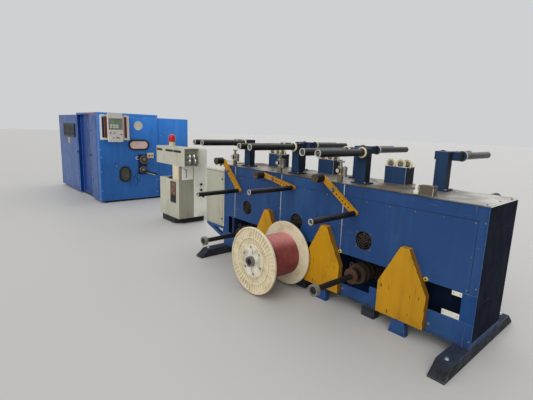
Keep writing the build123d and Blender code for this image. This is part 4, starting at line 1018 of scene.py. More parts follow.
def turned(name, outline, sides=24):
    """A piece turned about +Z from (radius, height) points."""
    deselect()
    bpy.ops.mesh.primitive_plane_add(size=0.01)
    piece = named(name)
    bpy.ops.object.mode_set(mode="EDIT")
    bpy.ops.mesh.select_mode(type="VERT")
    pick_all()
    bpy.ops.mesh.merge(type="CENTER")
    bpy.ops.transform.translate(value=(outline[0][0], 0, outline[0][1]))
    for (radius, height), (next_radius, next_height) in zip(outline, outline[1:]):
        step = (next_radius - radius, 0, next_height - height)
        bpy.ops.mesh.extrude_vertices_move(TRANSFORM_OT_translate={"value": step})
    pick_all()
    bpy.ops.mesh.spin(steps=sides, angle=2 * math.pi, center=(0, 0, 0), axis=(0, 0, 1))
    pick_all()
    bpy.ops.mesh.remove_doubles(threshold=SAME_PLACE)
    bpy.ops.mesh.normals_make_consistent(inside=False)
    end()
    return piece


def ring(name, outline, sides=28):
    """A ring turned about +Z, whose outline closes on itself."""
    return turned(name, outline + outline[:1], sides)


def prism(name, corners, radius, height, chamfer):
    """An upright bar with flat sides on the plane Z = 0, its top edge chamfered."""
    deselect()
    middle = (0, 0, height / 2)
    bpy.ops.mesh.primitive_cylinder_add(vertices=corners, radius=radius, depth=height, location=middle)
    piece = named(name)
    begin(piece)
    pick(piece, looks(UP))
    bpy.ops.mesh.bevel(offset=chamfer, segments=2, affect="EDGES")
    end()
    return piece


# %% Helpers for joining, copying and finishing
def together(name, *pieces):
    """Several pieces joined as one."""
    deselect()
    for piece in pieces:
        piece.select_set(True)
    bpy.context.view_layer.objects.active = pieces[0]
    if len(pieces) > 1:
        bpy.ops.object.join()
    whole = bpy.context.view_layer.objects.active
    whole.name = name
    return whole


def copies(piece, moves, name=None, keep=False):
    """Copies of a piece, each with its own mesh moved to its place, joined as one."""
    name = name or piece.name
    made = []
    for move in moves:
        one = piece.copy()
        one.data = piece.data.copy()
        one.data.transform(move)
        bpy.context.scene.collection.objects.link(one)
        made.append(one)
    if not keep:
        bpy.data.objects.remove(piece)
    return together(name, *made)


def fit(piece, material, body="line", sharp=35):
    """Gives a finished piece its material, shading and body."""
    piece.data.materials.clear()
    piece.data.materials.append(material)
    use(piece)
    bpy.ops.object.shade_smooth_by_angle(angle=math.radians(sharp))
    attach(piece, body)
    piece.select_set(False)
    return piece


def spread(piece, moves, material, body="line", name=None, keep=False):
    """Copies a piece to its places and finishes the copies as one piece."""
    return fit(copies(piece, moves, name, keep), material, body)


# %% Moves that stand a piece at its place
def out_of_front(place):
    """The move that stands a piece out towards the front at a place."""
    return Matrix.Translation(place) @ FRONTWARD


def out_of_right(place):
    """The move that stands a piece out towards +X at a place."""
    return Matrix.Translation(place) @ RIGHTWARD


def front(x, y, z):
    """The move that stands a piece out towards the front at a place on the bank."""
    return out_of_front(at(x, y, z))


def rightward(x, y, z):
    """The move that stands a piece out towards +X at a place on the bank."""
    return out_of_right(at(x, y, z))


def upright(x, y, z):
    """The move that stands a piece on a level face at a place on the bank."""
    return Matrix.Translation(at(x, y, z))


def mirrored_round(moves):
    """The same places in front and behind, half a turn about the bank's middle."""
    return moves + [TURN_ROUND @ move for move in moves]


def in_rear(moves):
    """The same places in the bays behind."""
    return [TO_REAR @ move for move in moves]


def both_sides(moves):
    """The same places in each bay in front and in each bay behind."""
    return moves + in_rear(moves)


# %% [markdown]
# ## Screws and bolts
#
# Cover screws are button heads with a sunk socket. Structural joints have hexagon bolts on a washer. Both
# are small, so each is a short prism with one bevel and one inset, copied to every place.

# %% Make a screw and a bolt
def screw(name, radius):
    """A button-head screw with a sunk socket, on the plane Z = 0."""
    height = radius * 0.55
    head = prism(name, 12, radius, height, radius * 0.3)
    return sink(head, top_above(height * 0.9), radius * 0.2, height * 0.6)


def bolt(name, across):
    """A hexagon bolt head on its washer, on the plane Z = 0."""
    washer = prism(name, 16, across * 0.62, across * 0.1, across * 0.03)
    head = prism(name + "_head", 6, across * 0.52, across * 0.42, across * 0.07)
    head.data.transform(shift(z=across * 0.09))
    return together(name, washer, head)


def screws(name, radius, moves, material=dull_steel):
    """Screws at their places, as one piece."""
    spread(screw(name, radius), moves, material)


def bolts(name, across, moves, material=dull_steel):
    """Bolts at their places, as one piece."""
    spread(bolt(name, across), moves, material)


print("helpers ready, sharp edges over", round(math.degrees(SHARP_ANGLE)), "degrees are softened")

# %% [markdown]
# ## The bank's covers
#
# The long blue face is folded sheet. A lift-off cover lies over each bay, with a thin dark gap round it and
# a button-head screw every 0.22 m. A bright steel edging closes the joint between two bays. The gap is a
# shallow dark strip, as thick as paint, because the sheet itself must stay as the CAD made it.

# %% Lay the cover seams and bright edgings
COVER_TOP = 1.037
COVER_LOW = 0.516
COVER_END = -0.060
COVER_FAR_END = LEFT_END - COVER_END
SHEET_TOP = 1.140
SEAM = 0.0025
SEAM_PROUD = 0.0008
BEDDED = 0.0005
SEAM_ROUND = 0.0003
EDGING_FROM_SPINDLE = -0.190
EDGING_WIDTH = 0.009
EDGING_PROUD = 0.0022


def seam(name, x0, x1, z0, z1):
    """A dark strip on the bank's face."""
    return block(name, at(x0, -SEAM_PROUD, z0), at(x1, BEDDED, z1), SEAM_ROUND, 1)


seams = [seam("cover_seams", COVER_FAR_END, COVER_END, COVER_TOP, COVER_TOP + SEAM)]
seams += [seam("seam", x - SEAM / 2, x + SEAM / 2, COVER_LOW, COVER_TOP) for x in (COVER_END, COVER_FAR_END)]
spread(together("cover_seams", *seams), mirrored_round([Matrix()]), seam_dark)

edging = block("bay_edgings", at(-EDGING_WIDTH / 2, -EDGING_PROUD, COVER_LOW),
               at(EDGING_WIDTH / 2, BEDDED, SHEET_TOP), 0.0007)
edging_x = [x + EDGING_FROM_SPINDLE for x in BAY_X]
spread(edging, both_sides([shift(x) for x in edging_x]), bright_steel)
print("edgings at", [round(x, 3) for x in edging_x])

# %% Screw the covers on
SCREW_PITCH = 0.2175
SCREW_RADIUS = 0.0065
FIRST_COLUMN = COVER_END - 0.016
LAST_COLUMN = LEFT_END + 0.06
TOP_ROW = 1.020
COVER_ROWS = (0.775, 0.530)
COVER_SCREW_FROM_EDGING = 0.022
FOOT_ROWS = (0.160, 0.265)
FOOT_SCREW_FROM_EDGING = 0.030
END_COLUMN = -0.016
END_ROWS = (1.030, 0.560, 0.160)

places = []
column_x = FIRST_COLUMN
while column_x > LAST_COLUMN:
    places.append((column_x, TOP_ROW))
    column_x -= SCREW_PITCH
columns = [FIRST_COLUMN] + [x + side * COVER_SCREW_FROM_EDGING for x in edging_x for side in SIDES]
places += [(x, z) for x in columns for z in COVER_ROWS]
places += [(x + side * FOOT_SCREW_FROM_EDGING, z) for x in edging_x for side in SIDES for z in FOOT_ROWS]
places += [(END_COLUMN, z) for z in END_ROWS]
screws("cover_screws", SCREW_RADIUS, mirrored_round([front(x, 0, z) for x, z in places]))
print("cover screws", 2 * len(places))

# %% [markdown]
# Two pale plates show in the first slot, where the lift's stops were packed out. They are thin steel with
# white paint, screwed against the slot's end column.

# %% Fit the slot plates
COLUMN_FACE = -0.0995
PLATE_FRONT = 0.004
PLATE_BACK = 0.008
# Left edge, lower and upper edge of each plate
SLOT_PLATES = ((-0.173, 0.465, 0.499), (-0.229, 0.2905, 0.334))
PLATE_SCREWS = ((-0.160, 0.482), (-0.115, 0.482), (-0.215, 0.312), (-0.115, 0.312))

plates = [pressed("slot_plates", at(x, PLATE_FRONT, low), at(COLUMN_FACE, PLATE_BACK, high), FRONT, 0.003,
                  0.0006, 0.001) for x, low, high in SLOT_PLATES]
spread(together("slot_plates", *plates), mirrored_round([Matrix()]), white_paint)
screw_moves = [front(x, PLATE_FRONT + 0.0004, z) for x, z in PLATE_SCREWS]
screws("slot_plate_screws", 0.004, mirrored_round(screw_moves))
print("slot plates", len(plates), "on each side")

# %% [markdown]
# ## Guard fittings
#
# Each yellow guard keeps an operator's knees from the reel lift. It hangs on a quarter-turn knob at its
# right shoulder, is bolted at its foot, and has a slotted grip hole and small drain slots. The knob is
# turned in one go: a knurled yellow skirt, then a dark centre.

# %% Make the guard knobs and bolts
GUARD_X = [x + 0.465 for x in BAY_X]
GUARD_FACE = -0.060
KNOB_FROM_MIDDLE = 0.166
KNOB_HEIGHT = 0.519
GUARD_BOLT_FROM_MIDDLE = 0.222
GUARD_BOLT_HEIGHT = 0.174
KNOB = [(0, 0), (0.0175, 0), (0.0175, 0.004), (0.0155, 0.0055), (0.0155, 0.011), (0.0135, 0.013),
        (0.0095, 0.013), (0.0085, 0.0105), (0, 0.0105)]
KNOB_CORE = [(0, 0.010), (0.008, 0.010), (0.008, 0.0125), (0.0065, 0.0138), (0, 0.0138)]

knob_moves = both_sides([front(x + KNOB_FROM_MIDDLE, 0, KNOB_HEIGHT) for x in GUARD_X])
spread(turned("guard_knobs", KNOB, 20), knob_moves, label_yellow)
spread(turned("guard_knob_cores", KNOB_CORE, 16), knob_moves, black_plastic)
foot_moves = [front(x + side * GUARD_BOLT_FROM_MIDDLE, 0, GUARD_BOLT_HEIGHT)
              for x in GUARD_X for side in SIDES]
bolts("guard_foot_bolts", 0.020, both_sides(foot_moves))
print("guard knobs", len(knob_moves))

# %% Mark the grip hole and drain slots
# Offset from the guard's middle, height, width, length of each slot
SLOTS = ((-0.170, 0.370, 0.009, 0.026), (-0.100, 0.372, 0.003, 0.040), (0.083, 0.356, 0.004, 0.022),
         (0.155, 0.368, 0.004, 0.026), (-0.099, 0.166, 0.006, 0.030), (0.078, 0.204, 0.003, 0.022))
SLOT_PROUD = 0.0006
SLOT_BEDDED = 0.001
SLOT_DISH = 0.0004

# The grip hole and drain slots are dark dished marks, painted shade for the openings.
slots = []
for x, z, width, length in SLOTS:
    mark = block("guard_slots", at(x - width / 2, GUARD_FACE - SLOT_PROUD, z - length / 2),
                 at(x + width / 2, GUARD_FACE + SLOT_BEDDED, z + length / 2))
    begin(mark)
    pick(mark, looks(FRONT))
    bpy.ops.mesh.inset(thickness=width * 0.25, depth=-SLOT_DISH)
    end()
    slots.append(mark)
spread(together("guard_slots", *slots), both_sides([shift(x) for x in GUARD_X]), seam_dark)
print("slots in a guard", len(slots))

# %% [markdown]
# ## Fans behind the grilles
#
# A cooling fan sits behind each round grille: a black shroud, a hub and seven pitched blades. The blades
# are one bevelled plate, twisted by turning it before it is copied round the hub.

# %% Build one fan and copy it
FAN_FROM_SPINDLE = 0.050
FAN_HEIGHT = 0.677
FAN_BLADES = 7
BLADE_PITCH = math.radians(32)
BLADE_DEPTH = -0.036
SHROUD_DEPTH = -0.012
RING_SCREW_RADIUS = 0.098
SHROUD = [(0.0850, 0.0), (0.0850, -0.004), (0.0835, -0.012), (0.0835, -0.050), (0.0875, -0.050),
          (0.0875, 0.005)]
FAN_HUB = [(0, -0.055), (0.030, -0.055), (0.030, -0.022), (0.026, -0.017), (0, -0.016)]

shroud = ring("fans", SHROUD, 32)
shroud.data.transform(shift(z=SHROUD_DEPTH))
blade = block("fan_blade", (0.027, -0.016, -0.0015), (0.080, 0.016, 0.0015), 0.001, 1)
blade.data.transform(shift(z=BLADE_DEPTH) @ spin(BLADE_PITCH, "X"))
turns = [spin(2 * math.pi * index / FAN_BLADES) for index in range(FAN_BLADES)]
fan = together("fans", shroud, turned("fan_hub", FAN_HUB), copies(blade, turns))
fan_places = [(x + FAN_FROM_SPINDLE, FAN_HEIGHT) for x in BAY_X]
spread(fan, both_sides([front(x, 0, z) for x, z in fan_places]), fan_brown)
quarters = [math.pi / 4 + quarter * math.pi / 2 for quarter in range(4)]
ring_moves = [front(x + RING_SCREW_RADIUS * math.cos(turn), 0, z + RING_SCREW_RADIUS * math.sin(turn))
              for x, z in fan_places for turn in quarters]
screws("fan_screws", 0.005, both_sides(ring_moves))
print("fans", 2 * len(fan_places))

# %% [markdown]
# ## The top plate's fittings
#
# The brown box near the free end joins the motor cables, with a lid on four screws. A white plug stands
# beside it. Posts stand on bolted feet, and each cross head is held by two bolts.

# %% Fit the junction box lid and plug
BOX_LOW, BOX_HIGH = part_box("junction_box")
LID_OVERHANG = Vector((0.001, 0.001, 0.003))
LID_DEPTH = 0.010
LID_SCREW_INSET = 0.006
PLUG = Vector((BOX_LOW.x - 0.027, BOX_LOW.y + 0.018, PLATE_TOP))
PLUG_BODY = [(0, 0.028), (0.0125, 0.028), (0.0125, 0.046), (0.0145, 0.048), (0.0145, 0.060), (0.0110, 0.064),
             (0.0110, 0.072), (0.007, 0.076), (0, 0.076)]

lid_low = (BOX_LOW.x - LID_OVERHANG.x, BOX_LOW.y - LID_OVERHANG.y, BOX_HIGH.z - LID_DEPTH)
fit(pressed("junction_lid", lid_low, BOX_HIGH + LID_OVERHANG, UP, 0.006, 0.001, 0.0015), brown_grey)
lid_screws = [shift(x, y, BOX_HIGH.z + LID_OVERHANG.z)
              for x in (BOX_LOW.x + LID_SCREW_INSET, BOX_HIGH.x - LID_SCREW_INSET)
              for y in (BOX_LOW.y + LID_SCREW_INSET, BOX_HIGH.y - LID_SCREW_INSET)]
screws("lid_screws", 0.003, lid_screws, bright_steel)
plug_foot = block("white_plug", PLUG - Vector((0.019, 0.014, 0)), PLUG + Vector((0.019, 0.014, 0.030)), 0.003)
plug_body = turned("plug_body", PLUG_BODY, 20)
plug_body.data.transform(shift(*PLUG))
fit(together("white_plug", plug_foot, plug_body), white_plastic)
print("plug at", tuple(round(c, 3) for c in PLUG))

# %% Bolt the posts down and the cross heads on
POST_X = [x - 0.112 for x in BAY_X]
POST_Y = 0.150
POST_HEAD = 1.435
FOOT_TOP = PLATE_TOP + 0.012

foot_moves = [upright(x + side * 0.062, POST_Y + end_side * 0.052, FOOT_TOP)
              for x in POST_X for side in SIDES for end_side in SIDES]
bolts("post_foot_bolts", 0.017, both_sides(foot_moves))
head_moves = [front(x + side * 0.022, 0.012, POST_HEAD + rise * 0.018)
              for x in POST_X for side in SIDES for rise in SIDES]
bolts("head_bolts", 0.015, both_sides(head_moves))

# %% Screw the top plate down
END_SCREWS = ((-0.035, 0.285), (-0.008, 0.450), (-0.415, 0.428), (-0.035, 0.040), (-0.035, 0.540))
plate_edge = list(END_SCREWS) + [(x + 0.330, y) for x in BAY_X for y in (0.030, 0.550)]
screws("plate_screws", 0.007, [upright(x, y, PLATE_TOP - BEDDED) for x, y in plate_edge], dark_paint)
print("bolts", 2 * len(foot_moves + head_moves), "plate screws", len(plate_edge))

# %% [markdown]
# ## Roller ends
#
# Each black roller has a pale bearing cap pressed into its free end, and runs on a fixed axle with a steel
# nut. At the root a cream rubber lip, bolted to the cross head, keeps wire off the bearing. The cap turns
# with the roller, so it rides on the roller's body, while the nut and the lip stay with what holds them.

# %% Cap the guide rollers
GUIDE_CAP = [(0.0236, -0.0085), (0.0248, -0.0085), (0.0248, 0), (0.0300, 0), (0.0304, 0.0012),
             (0.0292, 0.0028), (0.0250, 0.0028), (0.0238, 0.0012)]
DANCER_CAP = [(radius - 0.005, height) for radius, height in GUIDE_CAP]


def roller_end(name):
    """The move to the middle of a front roller's free end."""
    return out_of_front((centre(name).x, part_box(name)[0].y, centre(name).z))


for name in GUIDES + DANCERS:
    cap = ring(name + "_cap", GUIDE_CAP if name in GUIDES else DANCER_CAP)
    cap.data.transform(roller_end(name))
    fit(cap, cap_plastic, body=name)
print("roller caps", len(GUIDES + DANCERS))

# %% Cap the rear rollers
REAR_ANGLES = (35, 10, 10)
PIVOT_X = -0.280
PIVOT_Z = 1.080
ARM_REACH = 0.298
DANCER_END_Y = -0.6026


def on_arm(bay_x, angle, reach, y):
    """The move to a place on a dancer arm, by the arm's angle and the reach from its pivot."""
    turn = math.radians(angle)
    return front(bay_x + PIVOT_X + reach * math.cos(turn), y, PIVOT_Z - reach * math.sin(turn))


guide_ends = [roller_end(name) for name in GUIDES]
rear_ends = in_rear([on_arm(x, angle, ARM_REACH, DANCER_END_Y) for x, angle in zip(BAY_X, REAR_ANGLES)])
rear_caps = copies(ring("rear_guide_caps", GUIDE_CAP), in_rear(guide_ends))
rear_small = copies(ring("rear_dancer_caps", DANCER_CAP), rear_ends)
fit(together("rear_roller_caps", rear_caps, rear_small), cap_plastic)

# %% Nuts on the axles and lips at the roots
NUT_IN = shift(z=-0.0100)
LIP_FROM_POST = 0.080
LIP = [(0.0330, 0), (0.0445, 0), (0.0460, 0.003), (0.0450, 0.011), (0.0400, 0.0145), (0.0345, 0.0130),
       (0.0330, 0.0090)]

bolts("axle_nuts", 0.015, both_sides([move @ NUT_IN for move in guide_ends]))
for name, bay in zip(DANCERS, BAYS):
    nut = bolt(f"dancer_nut_{bay}", 0.012)
    nut.data.transform(roller_end(name) @ NUT_IN)
    fit(nut, dull_steel, body=f"dancer_{bay}")
bolts("rear_dancer_nuts", 0.012, [move @ NUT_IN for move in rear_ends])
root_moves = [front(x + side * LIP_FROM_POST, -BEDDED, POST_HEAD) for x in POST_X for side in SIDES]
spread(ring("roller_lips", LIP), both_sides(root_moves), cream_plastic)
print("lips", 2 * len(root_moves))

# %% [markdown]
# ## Spindle clamps
#
# A reel is locked by turning the notched ring at the spindle's end with a spanner. Inside the ring is a
# black cap with a hexagon socket. It turns with the spindle.

# %% Fill the clamps
CLAMP_FACE = -0.5676
SPINDLE_HEIGHT = 0.350
CLAMP_CAP = [(0, -0.002), (0.030, -0.002), (0.032, 0.001), (0.030, 0.0035), (0.018, 0.0045), (0.017, 0.0030),
             (0, 0.0030)]

socket = sink(prism("socket", 6, 0.0135, 0.006, 0.0008), top_above(0.005), 0.0025, 0.0045)
clamp = together("rear_clamp_caps", turned("clamp", CLAMP_CAP), socket)
clamp_moves = [front(x, CLAMP_FACE, SPINDLE_HEIGHT) for x in BAY_X]
for move, bay in zip(clamp_moves, BAYS):
    spread(clamp, [move], black_plastic, f"spindle_{bay}", f"clamp_cap_{bay}", keep=True)
spread(clamp, in_rear(clamp_moves), black_plastic)
print("clamp caps", 2 * len(clamp_moves))

# %% [markdown]
# ## The wound reel
#
# The reel is full of red insulated wire. A smooth drum would read as plastic, so the winding is one turned
# surface with a ridge for every three strands, drawn from flange to flange and closed at the barrel. Two
# slow waves make it a little uneven. It takes the place of the plain drum from the CAD and stays inside it.

# %% Wind the wire
WIND_LOW, WIND_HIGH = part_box("reel_winding")
REEL_PLACE = centre("reel_winding")
WIND_RADIUS = (WIND_HIGH.z - WIND_LOW.z) / 2
WIND_LENGTH = WIND_HIGH.y - WIND_LOW.y
WIND_BORE = 0.1585
RIDGE_PITCH = 0.0045
RIDGE_HEIGHT = 0.0009
ROOM_FOR_WAVES = 0.0022

ridges = int(WIND_LENGTH / RIDGE_PITCH)
pitch = WIND_LENGTH / ridges
outline = [(WIND_BORE, 0)]
for index in range(ridges):
    wave = 0.0012 * math.sin(index * 0.9) + 0.0010 * math.sin(index * 0.37)
    crown = WIND_RADIUS - ROOM_FOR_WAVES + wave
    start = index * pitch
    outline += [(crown - RIDGE_HEIGHT, start + 0.02 * pitch), (crown, start + 0.35 * pitch),
                (crown, start + 0.65 * pitch)]
outline += [(WIND_RADIUS - 0.004, WIND_LENGTH), (WIND_BORE, WIND_LENGTH)]
winding = ring("winding", outline, 72)
winding.data.transform(out_of_front((REEL_PLACE.x, WIND_HIGH.y, REEL_PLACE.z)))
fit(winding, winding_red, body="spindle_2", sharp=80)
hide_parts("reel_winding")
print("ridges", ridges, "faces", len(winding.data.polygons))

# %% [markdown]
# ## Dancer fittings
#
# A dancer arm keeps the wire tight: its roller hangs on the wire and a counterweight holds the other end.
# The pivot has a nut, and the counterweight a rusty end plate with a bolt, which swings with the arm.

# %% Fit the pivots and counterweights
FRONT_ANGLES = (35, 10, 45)
PIVOT_NUT_Y = -0.0605
WEIGHT_REACH = -0.168
WEIGHT_END_Y = -0.1470
WEIGHT_PLATE = [(0, 0), (0.0385, 0), (0.0400, 0.0015), (0.0400, 0.0045), (0.0385, 0.006), (0.020, 0.006),
                (0.018, 0.0045), (0, 0.0045)]

pivot_moves = both_sides([front(x + PIVOT_X, PIVOT_NUT_Y, PIVOT_Z) for x in BAY_X])
bolts("pivot_nuts", 0.024, pivot_moves)
plate_disc = turned("weight_disc", WEIGHT_PLATE, 28)
weight_plate = together("rear_weight_plates", plate_disc, bolt("weight_bolt", 0.019))
for x, angle, bay in zip(BAY_X, FRONT_ANGLES, BAYS):
    move = on_arm(x, angle, WEIGHT_REACH, WEIGHT_END_Y)
    spread(weight_plate, [move], cast_iron, f"dancer_{bay}", f"weight_plate_{bay}",
           keep=True)
rear_moves = in_rear([on_arm(x, angle, WEIGHT_REACH, WEIGHT_END_Y) for x, angle in zip(BAY_X, REAR_ANGLES)])
spread(weight_plate, rear_moves, cast_iron)
print("counterweights", len(BAYS) + len(rear_moves))

# %% [markdown]
# ## Air regulators
#
# Each regulator on the top plate has a gauge that faces the operator, a bowl with a metal guard ring, and a
# T handle. The gauge is a turned case with a pale dial and a needle, and no marks that name a maker.

# %% Fit the gauges
REG_X = [x - 0.300 for x in BAY_X]
REG_Y = 0.070
GAUGE_Y = REG_Y - 0.0255
GAUGE_HEIGHT = 1.252
NEEDLE_TURN = 0.7
GAUGE = [(0, 0), (0.006, 0), (0.006, 0.008), (0.0200, 0.010), (0.0215, 0.012), (0.0215, 0.024),
         (0.0205, 0.0255), (0.0185, 0.0255), (0.0180, 0.0225), (0, 0.0225)]
DIAL = [(0, 0.0226), (0.0178, 0.0226), (0.0178, 0.0230), (0, 0.0232)]

gauge_moves = [front(x, GAUGE_Y, GAUGE_HEIGHT) for x in REG_X]
spread(turned("gauges", GAUGE), gauge_moves, black_plastic)
spread(turned("dials", DIAL), gauge_moves, white_plastic)
needle = block("needles", (-0.0006, -0.003, 0.0230), (0.0006, 0.013, 0.0238), SEAM_ROUND, 1)
spread(needle, [move @ spin(NEEDLE_TURN) for move in gauge_moves], red_button)

# %% Fit the bands, bowl guards and plugs
BOWL_X = [x + 0.046 for x in REG_X]
BAND = [(0.0258, 0), (0.0285, 0), (0.0292, 0.002), (0.0292, 0.010), (0.0285, 0.012), (0.0258, 0.012)]
BOWL_GUARD = [(0.0218, 0), (0.0245, 0), (0.0250, 0.002), (0.0250, 0.016), (0.0245, 0.018), (0.0218, 0.018)]

bands = [upright(x, REG_Y, z) for x in REG_X for z in (1.214, 1.276)]
spread(ring("regulator_bands", BAND), bands, brass)
bowls = [upright(x, REG_Y, z) for x in BOWL_X for z in (1.206, 1.262)]
spread(ring("bowl_guards", BOWL_GUARD, 24), bowls, dull_steel)
bolts("bowl_plugs", 0.014, [upright(x, REG_Y, 1.2895) for x in BOWL_X], brass)
print("gauges", len(gauge_moves), "bands", len(bands), "bowl guards", len(bowls))

# %% [markdown]
# ## Tension boxes
#
# Each blue box on the plate's rear edge has a bright folded rim, and three upright guide wheels stand in it
# with their tops above the rim. A wheel is cream plastic with a groove for the wire and a grey worn web. A
# stalk from the box's floor holds each wheel by a pin.

# %% Fold the rims
TENSION_LOW = at(-0.052, 0.410, 1.308)
TENSION_HIGH = at(0.158, 0.560, 1.308)
RIM_OUT = Vector((0.002, 0.002, 0.003))
RIM_WIDTH = 0.009

rim = framed("box_rims", TENSION_LOW - RIM_OUT, TENSION_HIGH + RIM_OUT, RIM_WIDTH, UP, 0.001)
spread(rim, [shift(x) for x in BAY_X], bright_steel)

# %% Stand the wheels in the boxes
WHEEL_RADIUS = 0.046
WHEEL_Z = 1.330
BOX_FLOOR = 1.1545
# Offset from the spindle and distance behind the front face
WHEEL_SPOTS = ((-0.008, 0.435), (0.088, 0.435), (0.128, 0.480))
WHEEL_RIM = [(0.030, -0.006), (0.036, -0.006), (0.038, -0.009), (WHEEL_RADIUS, -0.010),
             (WHEEL_RADIUS, -0.008), (WHEEL_RADIUS - 0.007, 0), (WHEEL_RADIUS, 0.008), (WHEEL_RADIUS, 0.010),
             (0.038, 0.009), (0.036, 0.006), (0.030, 0.006)]
WHEEL_WEB = [(0.0065, -0.008), (0.015, -0.008), (0.0165, -0.0035), (0.0305, -0.0035), (0.0305, 0.0035),
             (0.0165, 0.0035), (0.015, 0.008), (0.0065, 0.008)]

wheel_places = [(x + offset, y, WHEEL_Z) for x in BAY_X for offset, y in WHEEL_SPOTS]
wheel_moves = [front(*place_of_wheel) for place_of_wheel in wheel_places]
spread(ring("box_wheels", WHEEL_RIM, 32), wheel_moves, cream_plastic)
spread(ring("box_wheel_webs", WHEEL_WEB, 24), wheel_moves, dull_steel)
stalk = block("wheel_stalks", (-0.008, 0.011, BOX_FLOOR - WHEEL_Z), (0.008, 0.015, 0.012), 0.0015, 1)
pin = prism("pin", 12, 0.0062, 0.022, 0.001)
pin.data.transform(out_of_front((0, 0.0115, 0)))
pin_bolt = bolt("pin_bolt", 0.013)
pin_bolt.data.transform(out_of_front((0, -0.0095, 0)))
stalk = together("wheel_stalks", stalk, pin, pin_bolt)
spread(stalk, [upright(*place_of_wheel) for place_of_wheel in wheel_places], dull_steel)
print("box wheels", len(wheel_moves))

# %% [markdown]
# ## The console
#
# A grey cabinet with a sloped control face hangs at the bank's left end. Its door is a folded sheet pan with
# two quarter-turn locks, and the slope carries a white plate under the knobs. The door is a bevelled block
# whose front is inset and pushed in a little, as a folded door is.

# %% Hang the console door
CON_LOW, CON_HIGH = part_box("console_housing")
CON_WIDTH = CON_HIGH.x - CON_LOW.x
SLOPE_RUN = 0.190
SLOPE_FOOT = 1.070
DOOR_PROUD = 0.006
DOOR_BEDDED = 0.001
CONSOLE_LOCK_HEIGHTS = (0.957, 0.440)
CONSOLE_LOCK = [(0, 0), (0.0115, 0), (0.0115, 0.004), (0.0095, 0.006), (0.004, 0.006), (0.0035, 0.003),
                (0, 0.003)]

door_low = (CON_LOW.x + 0.018, CON_LOW.y - DOOR_PROUD, CON_LOW.z + 0.022)
door_high = (CON_HIGH.x - 0.018, CON_LOW.y + DOOR_BEDDED, SLOPE_FOOT - 0.038)
fit(pressed("console_door", door_low, door_high, FRONT, 0.012, 0.0015, 0.003), cabinet_grey)
gap = block("console_seam", (CON_LOW.x, CON_LOW.y - SEAM_PROUD, SLOPE_FOOT - 0.022),
            (CON_HIGH.x, CON_LOW.y + BEDDED, SLOPE_FOOT - 0.018), SEAM_ROUND, 1)
fit(gap, seam_dark)
lock_x = CON_HIGH.x - 0.032
lock_moves = [out_of_front((lock_x, CON_LOW.y - DOOR_PROUD, z)) for z in CONSOLE_LOCK_HEIGHTS]
spread(turned("console_locks", CONSOLE_LOCK, 20), lock_moves, black_plastic)
print("console locks", len(lock_moves))

# %% Lay the slope plate and the knobs' collars and pointers
SLOPE_ANGLE = math.atan2(CON_HIGH.z - SLOPE_FOOT, SLOPE_RUN)
SLOPE_LENGTH = math.hypot(CON_HIGH.z - SLOPE_FOOT, SLOPE_RUN)
SLOPE_PLACE = shift(CON_LOW.x, CON_LOW.y, SLOPE_FOOT) @ spin(SLOPE_ANGLE, "X")
SLOPE_PLATE_TOP = 0.0018
KNOB_TURNS = (0.6, -0.4, 0.0)
COLLAR = [(0.0165, 0), (0.0215, 0), (0.0215, 0.0025), (0.0195, 0.0040), (0.0165, 0.0040)]

plate = block("slope_plate", (0.014, 0.012, -BEDDED), (CON_WIDTH - 0.014, SLOPE_LENGTH - 0.012, 0.0020),
              0.0008)
plate.data.transform(SLOPE_PLACE)
fit(plate, white_paint)
slope_screws = [SLOPE_PLACE @ shift(x, y, SLOPE_PLATE_TOP) for x in (0.024, CON_WIDTH - 0.024)
                for y in (0.022, SLOPE_LENGTH - 0.022)]
screws("slope_screws", 0.004, slope_screws)
knob_moves = [SLOPE_PLACE @ shift(CON_WIDTH * share, SLOPE_LENGTH / 2) for share in (0.75, 0.5, 0.25)]
collar_moves = [move @ shift(z=SLOPE_PLATE_TOP) for move in knob_moves]
spread(ring("knob_collars", COLLAR, 24), collar_moves, dull_steel)
pointer = block("knob_pointers", (-0.0012, -0.001, 0.0238), (0.0012, 0.0135, 0.0250), 0.0004, 1)
pointer_moves = [move @ spin(turn) for move, turn in zip(knob_moves, KNOB_TURNS)]
spread(pointer, pointer_moves, white_plastic)
print("slope of", round(math.degrees(SLOPE_ANGLE), 1), "degrees")

# %% Bolt the bracket and the foot beams
bolts("bracket_bolts", 0.016, [front(-3.0725, 0.010, z) for z in (0.215, 0.300)])
beam_moves = [upright(x, y, 0.0995) for x in (-0.060, -3.050) for y in (-0.235, 0.815)]
bolts("foot_beam_bolts", 0.026, beam_moves, bright_steel)
print("foot beam bolts", len(beam_moves))

# %% [markdown]
# ## The spark tester
#
# The tester passes the insulated wire through a high voltage in its head, so the head is a closed box with
# dark sight slots, and its mouth holds two small sheaves. The lower cabinet has a control panel with lamps
# and switches, a service door, and a white hatch with a bow handle above it.

# %% Cut the sight slots and bare plates
TEST_LOW, TEST_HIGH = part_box("tester_body")
HEAD_LOW, HEAD_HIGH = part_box("tester_head")
TEST_FRONT = TEST_LOW.y
SIGHT_SLOTS = ((-5.345, -5.150), (-5.025, -4.770), (-4.750, -4.500))
SIGHT_LOW = 1.188
SIGHT_HIGH = 1.222
BARE_PLATES = ((-5.254, 1.160), (-4.567, 1.147), (-4.888, 1.121))


def tester(x, y, z):
    """A place on the tester's front, from the bank's right end and the tester's front face."""
    return Vector((BANK_RIGHT + x, TEST_FRONT + y, z))


